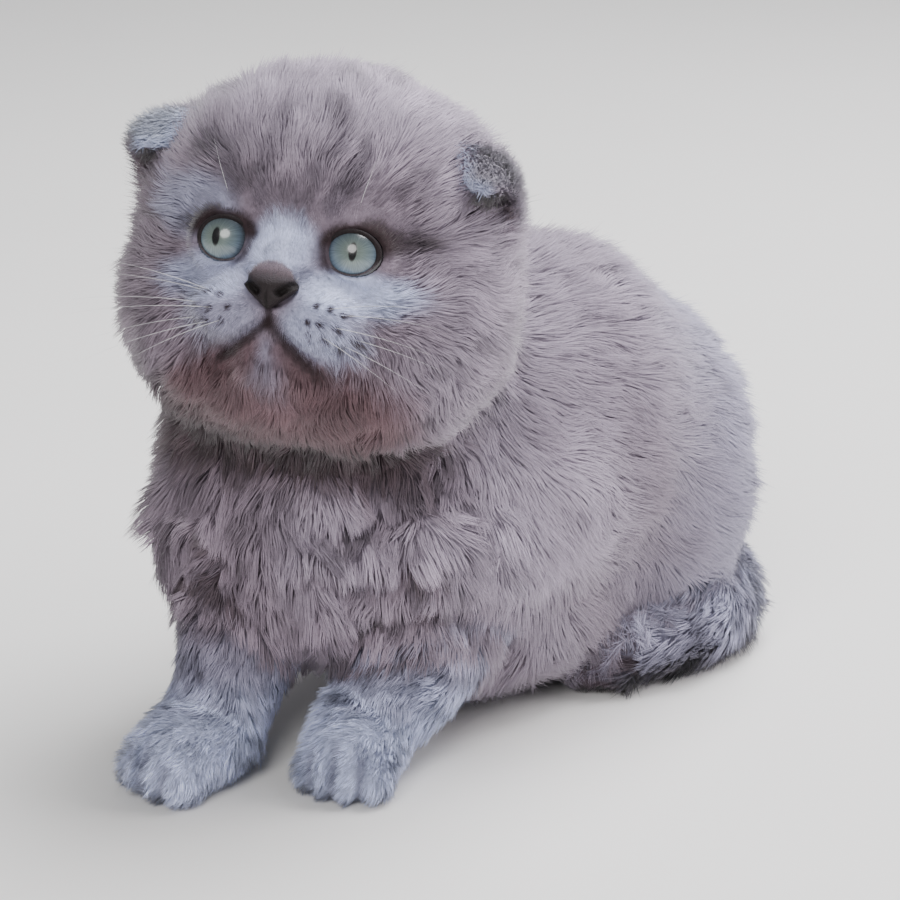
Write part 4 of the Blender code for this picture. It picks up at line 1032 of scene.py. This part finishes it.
MUZZLE_HAIR = 0.0016
CHEEK_HAIR = 0.0044
BEARD_HAIR = 0.0062
GUARD_SHARE = 0.05
GUARD_LONGER = 1.22
GUARD_FINER = 0.6
GUARD_RISE = math.radians(14)
TIP_FLOOR = 0.0003
BEND_FLOOR = 0.0004
FEWEST_BLADES = 50
EAR_ROOTS = (
    ((0.0320, 0.000, 0.0070), 0.012, 0.0040), ((0.0255, -0.007, 0.0260), 0.007, 0.0035),
    ((0.033, -0.008, 0.0120), 0.006, 0.0045),
)
COAT_PIECES = {
    "coat_face": (-30, -56, 112), "coat_crown": (-22, -20, 158), "coat_cheek_left": (16, -24, 100),
    "coat_cheek_right": (-70, -10, 110), "coat_nape": (-10, 30, 120), "coat_chest": (-35, -45, 62),
    "coat_shoulder": (18, -16, 55), "coat_back": (30, 35, 105), "coat_flank": (56, 10, 50),
    "coat_far_side": (-45, 50, 60), "coat_rump": (55, 80, 40), "coat_forelegs": (-35, -35, 15),
}


def capped(length, there, most):
    """Hair lengths that go no further than a limit where they are told."""
    return np.where(there, np.minimum(length, most), length)


def in_chest(places, kind):
    """How far places of the chest's frame lie in the chest's fur, from 0 to 1."""
    share = fall(places[:, 0], -0.006, 0.022) * fall(places[:, 1], -0.02, 0.01)
    return share * np.isin(kind, ("torso", "neck"))


smooth_normals = unit(evened(skin_normals, skin_edges, 8))
swirl = evened(draw.normal(0, 1, skin_points.shape), skin_edges, 18)
swirl /= swirl.std()
skin_lie = evened(combed_lie(skin_points, skin_part), skin_edges, 12) + swirl * 0.30
skin_lie = along_surface(skin_lie, smooth_normals)
(qx, qy, qz), (px, py, pz) = head_points.T, chest_points.T
from_nose = size_of(head_points - NOSE_TIP)
hair_length, hair_width, hair_number = np.array([COAT[kind][:3] for kind in skin_kind]).T
face_length = MUZZLE_HAIR + (COAT["head"][0] - MUZZLE_HAIR) * ramp(from_nose, 0.006, 0.044) + CHEEK_HAIR * cheek
hair_length = np.where(on_head, face_length, hair_length)
finer = 0.60 + 0.40 * ramp(from_nose, 0.008, 0.036) + 0.2 * cheek
hair_width = np.where(on_head, hair_width * finer, hair_width)
denser = 1 + 1.5 * fall(from_nose, 0.012, 0.036) - 0.3 * cheek
hair_number = np.where(on_head, hair_number * denser, hair_number)
beard = ramp(-qz, 0.019, 0.026) * fall(abs(qx), 0.010, 0.020) * on_head
hair_length = np.maximum(hair_length, BEARD_HAIR * beard)
hair_length = hair_length + 0.0008 * ramp(-qz, 0.026, 0.036) * on_head
for offset in eye_fronts(head_points):
    short = 0.0012 + 0.0052 * ramp(size_of(offset), 0.006, 0.020)
    hair_length = capped(hair_length, on_head, short)
for line in MOUTH:
    lip = 0.0007 + 0.55 * away_from(head_points, line)
    hair_length = capped(hair_length, on_head, lip + 0.010 * (lip > 0.0030))
for side in (1, -1):
    for root, wide, longer in EAR_ROOTS:
        from_root = size_of(head_points - np.array(root) * (side, 1, 1))
        hair_length = hair_length + longer * np.exp(-((from_root / wide) ** 2)) * on_head
for line in TOE_GAPS:
    gap = 0.0015 + away_from(chest_points[:, :2], line)
    hair_length = capped(hair_length, skin_kind == "forepaw", gap)
for line in FOLDS:
    across, _, height = line.T
    above = pz - np.interp(px, across, height) + 0.0016 * swirl[:, 1]
    over = (px > across[0] - 0.003) & (px < across[-1] + 0.003) & (py < 0) & (above > -0.001) & ~on_head
    hair_length = capped(hair_length, over, 0.0058 + above * 0.85)
hair_length = hair_length * (1 - 0.12 * in_chest(chest_points, skin_kind))
hair_length = evened(hair_length, skin_edges, 5) * (1 + 0.10 * swirl[:, 0])
hair_width = evened(hair_width, skin_edges, 6)
hair_number = evened(hair_number, skin_edges, 10) * np.where(skin_points[:, 2] < 0.0012, 0.15, 1.0)

corner, mixed, places = scatter(skin.data, skin_points, hair_number)
roots = mixed(skin_points)
count = len(roots)
part = skin_part[corner]
kind = kinds_of(part)
normals = unit(mixed(smooth_normals))
lie = along_surface(mixed(skin_lie), normals)
number = mixed(hair_number)
width = mixed(hair_width) / math.sqrt(THINNING)
length = mixed(hair_length)
q, p = points_in(HEAD, roots), points_in(STANCE, roots)
(qx, qy, qz), (px, py, pz) = q.T, p.T

shown = np.ones(count, bool)
for name, eye_frame in eye_frames.items():
    local = points_in(eye_frame, roots)
    upper = ramp((local[:, 2] - OPENINGS[name][1]) / OPENING_HALF[1], -0.8, 0.6)
    shown &= opening_share(local, name) > 1.07 + 0.03 * upper
shown &= (np.hypot(qx / 0.0048, (qz - NOSE_CENTRE.z) / 0.0040) > 1.0) | (qy > -0.030)

guard = draw.random(count) < GUARD_SHARE
length = length * draw.uniform(0.70, 1.12, count) * np.where(guard, GUARD_LONGER, 1.0)
width = width * np.where(guard, GUARD_FINER, 1.0)
rise_root, rise_tip, loose = np.array([COAT[name][3:] for name in kind]).T
chest, head, legs = in_chest(p, kind), kind == "head", np.isin(kind, ("foreleg", "forepaw", "tail"))
rise_root = np.radians(rise_root) + 0.08 * chest
rise_tip = np.radians(rise_tip) + np.where(guard, GUARD_RISE, 0.0) + 0.10 * chest + draw.normal(0, 0.09, count)
lean = unit(lie + (0.22 + 0.10 * chest)[:, None] * along_surface(draw.normal(0, 1, (count, 3)), normals))
middles, tips = raised(roots, normals, lean, length, rise_root, rise_tip)
pad_hair = (qy < -0.024) * head * fall(abs(qz + 0.014), 0.004, 0.007)
forward = fall(px * 0.8 + py * 0.6, -0.026, 0.006) * ~head
face = fall(qz, 0.000, 0.018) * ramp(-qy, -0.005, 0.012) * head
rough = np.maximum(np.maximum(forward, face), legs)
# How much darker the roots and paler the tips are: the painted shade between the locks is strongest on the chest,
# face and legs.
contrast = 0.16 + 0.62 * rough
shade = 1 + draw.normal(0, 1, count) * (0.04 + 0.05 * rough + 0.32 * pad_hair)
cheeks = mixed(cheek)
loose = loose * (0.35 + 0.65 * rough)
for spacing, pull, sway, mood in (
    (0.0015, loose + 0.15 * cheeks, 0.06, 0.04 + 0.04 * chest + 0.13 * legs),
    (0.0034, 0.08 + 0.34 * chest + 0.20 * cheeks, 0.20, 0.03 + 0.14 * chest + 0.08 * head + 0.14 * legs),
    (0.0065, 0.04 + 0.11 * chest, 0.13, 0.03 + 0.15 * chest + 0.09 * head + 0.12 * legs),
):
    leader = locks(roots, number, spacing)
    swayed = tips + draw.normal(0, 1, (count, 3)) * (length * sway)[:, None]
    shift = ((swayed[leader] - roots[leader]) * 1.03 + roots[leader] - tips) * (pull * (length > 0.002))[:, None]
    tips = tips + shift
    middles = middles + shift * 0.3
    shade += draw.normal(0, 1, count)[leader] * mood
tips[:, 2] = np.maximum(tips[:, 2], TIP_FLOOR)
middles[:, 2] = np.maximum(middles[:, 2], BEND_FLOOR)
tone = spotted(coat_tone(roots, part), roots) * shade.clip(0.5, 1.6)[:, None]

centres = np.array([STANCE @ Vector(place) for place in metres(COAT_PIECES.values())])
owner = ((roots[:, None, :] - centres) ** 2).sum(axis=2).argmin(axis=1)
for i, name in enumerate(COAT_PIECES):
    for suffix, sort in (("", length >= STRAIGHT_BELOW), ("_short", length < STRAIGHT_BELOW)):
        mine = shown & (owner == i) & sort
        if mine.sum() > FEWEST_BLADES:
            blades = [values[mine] for values in (roots, normals, middles, tips, width, tone, contrast, places)]
            add_blades(name + suffix, blades, suffix == "")

# ================ down of the nose
# Very fine down that runs from the bridge over the top of the nose leather and hides its upper edge. It is made of
# short straight blades, rooted in the leather.

DOWN_HEIGHTS = (-0.0080, -0.0056)
DOWN_NUMBER = 40.0
DOWN_LENGTH = 0.0016
DOWN_WIDTH = 0.00012

nose_points = read_points(nose.data)
_, ahead, height = points_in(HEAD, nose_points).T
down_share = 0.01 + DOWN_NUMBER * ramp(height, *DOWN_HEIGHTS) * (ahead < -0.036)
_, mixed, _ = scatter(nose.data, nose_points, down_share)
roots = mixed(nose_points)
normals = unit(mixed(read_normals(nose.data)))
upward = np.array(HEAD.to_3x3() @ Vector((0.0, 0.2, 1.0)))
lean = along_surface(upward + draw.normal(0, 0.3, roots.shape), normals)
tips = roots + (lean * 0.93 + normals * 0.36) * DOWN_LENGTH
q = points_in(HEAD, roots)
tone = blend(UMBER * 2, MAUVE, ramp(q[:, 2], DOWN_HEIGHTS[0], DOWN_HEIGHTS[1] + 0.0015))
width = np.full(len(roots), DOWN_WIDTH) / math.sqrt(THINNING)
places = 0.5 + q[:, [0, 2]]
add_blades("coat_nose", [roots, normals, roots, tips, width, tone, np.full(len(roots), 0.5), places], False)

# ================ coat of the ears
# Short close hair on both faces of each ear, which lies from the root to the folded tip, with longer soft tufts
# low in the cup.

EAR_HAIR = 0.0050
EAR_HAIR_WIDTH = 0.00021
EAR_HAIR_NUMBER = 6.5
EAR_RISE = (42, 26)
EAR_TUFT = 0.0055
EAR_TUFT_RISE = (20, 26)

for name, (ear, columns, outside, up, ear_tone) in ears.items():
    ear_points = read_points(ear.data)
    ear_normals = read_normals(ear.data)
    bpy.ops.object.select_all(action="DESELECT")
    unwrapped(ear)
    _, mixed, places = scatter(ear.data, ear_points, np.full(len(ear_points), EAR_HAIR_NUMBER))
    roots = mixed(ear_points)
    count = len(roots)
    normals = unit(mixed(ear_normals))
    lines = [[STANCE.inverted() @ point for point in column] for column in columns]
    lie = along_surface(combed(roots, lines), normals)
    tuft = mixed(~outside * fall(up, 0.25, 0.60))
    lean = unit(lie + 0.25 * along_surface(draw.normal(0, 1, (count, 3)), normals))
    length = (EAR_HAIR + EAR_TUFT * tuft) * draw.uniform(0.7, 1.2, count)
    rises = [np.radians(rise + more * tuft) for rise, more in zip(EAR_RISE, EAR_TUFT_RISE)]
    middles, tips = raised(roots, normals, lean, length, *rises)
    tone = mixed(ear_tone) * draw.normal(1.0, 0.12, count).clip(0.6, 1.4)[:, None]
    width = np.full(count, EAR_HAIR_WIDTH) / math.sqrt(THINNING)
    add_blades("coat_" + name, [roots, normals, middles, tips, width, tone, np.full(count, 0.40), places], True)

# ================ whiskers
# Long stiff white hairs that grow in rows from the pads of the muzzle, with a shorter one over each eye. Each is
# a round tapered bristle that bows back and down under its own weight.

WHISKER_SIDES = 5
WHISKER_STEPS = 12
WHISKER_ROOT = 0.00005

bristle, shader = new_finish("whisker", 0.35, Specular_IOR_Level=0.5)
mottled(shader, (0.72, 0.71, 0.73), 700.0, 0.85, 1.10)
whiskers = bmesh.new()
turn = HEAD.to_3x3()
for x, z, length, heading in WHISKERS:
    root = skin_tree.ray_cast(HEAD @ Vector((x / 1000, -0.07, z / 1000)), turn @ Vector((0, 1, 0)))[0]
    heading = Vector(heading).normalized()
    sag = Vector((0.0, 0.55, -0.30)) if z < 0 else Vector((0.0, 0.6, 0.0))
    run = []
    for step in range(WHISKER_STEPS + 1):
        share = step / WHISKER_STEPS
        run.append(root + turn @ (heading * share + sag * share * share * 0.35) * (length / 1000))
    bristles = []
    for step, place in enumerate(run):
        ahead = run[min(step + 1, WHISKER_STEPS)] - run[max(step - 1, 0)]
        ring = bmesh.ops.create_circle(
            whiskers,
            segments=WHISKER_SIDES,
            radius=WHISKER_ROOT * (1 - 0.85 * step / WHISKER_STEPS),
            matrix=Matrix.Translation(place) @ ahead.to_track_quat("Z", "X").to_matrix().to_4x4(),
            cap_ends=step in (0, WHISKER_STEPS),
        )
        bristles.append(ring["verts"])
    for low, high in zip(bristles, bristles[1:]):
        bridge(whiskers, low, high)
bmesh.ops.recalc_face_normals(whiskers, faces=whiskers.faces[:])
add_piece("whiskers", whiskers, bristle)

# ================ finish
# The box round the finished kitten, without the floor or the hidden solids.

low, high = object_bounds()
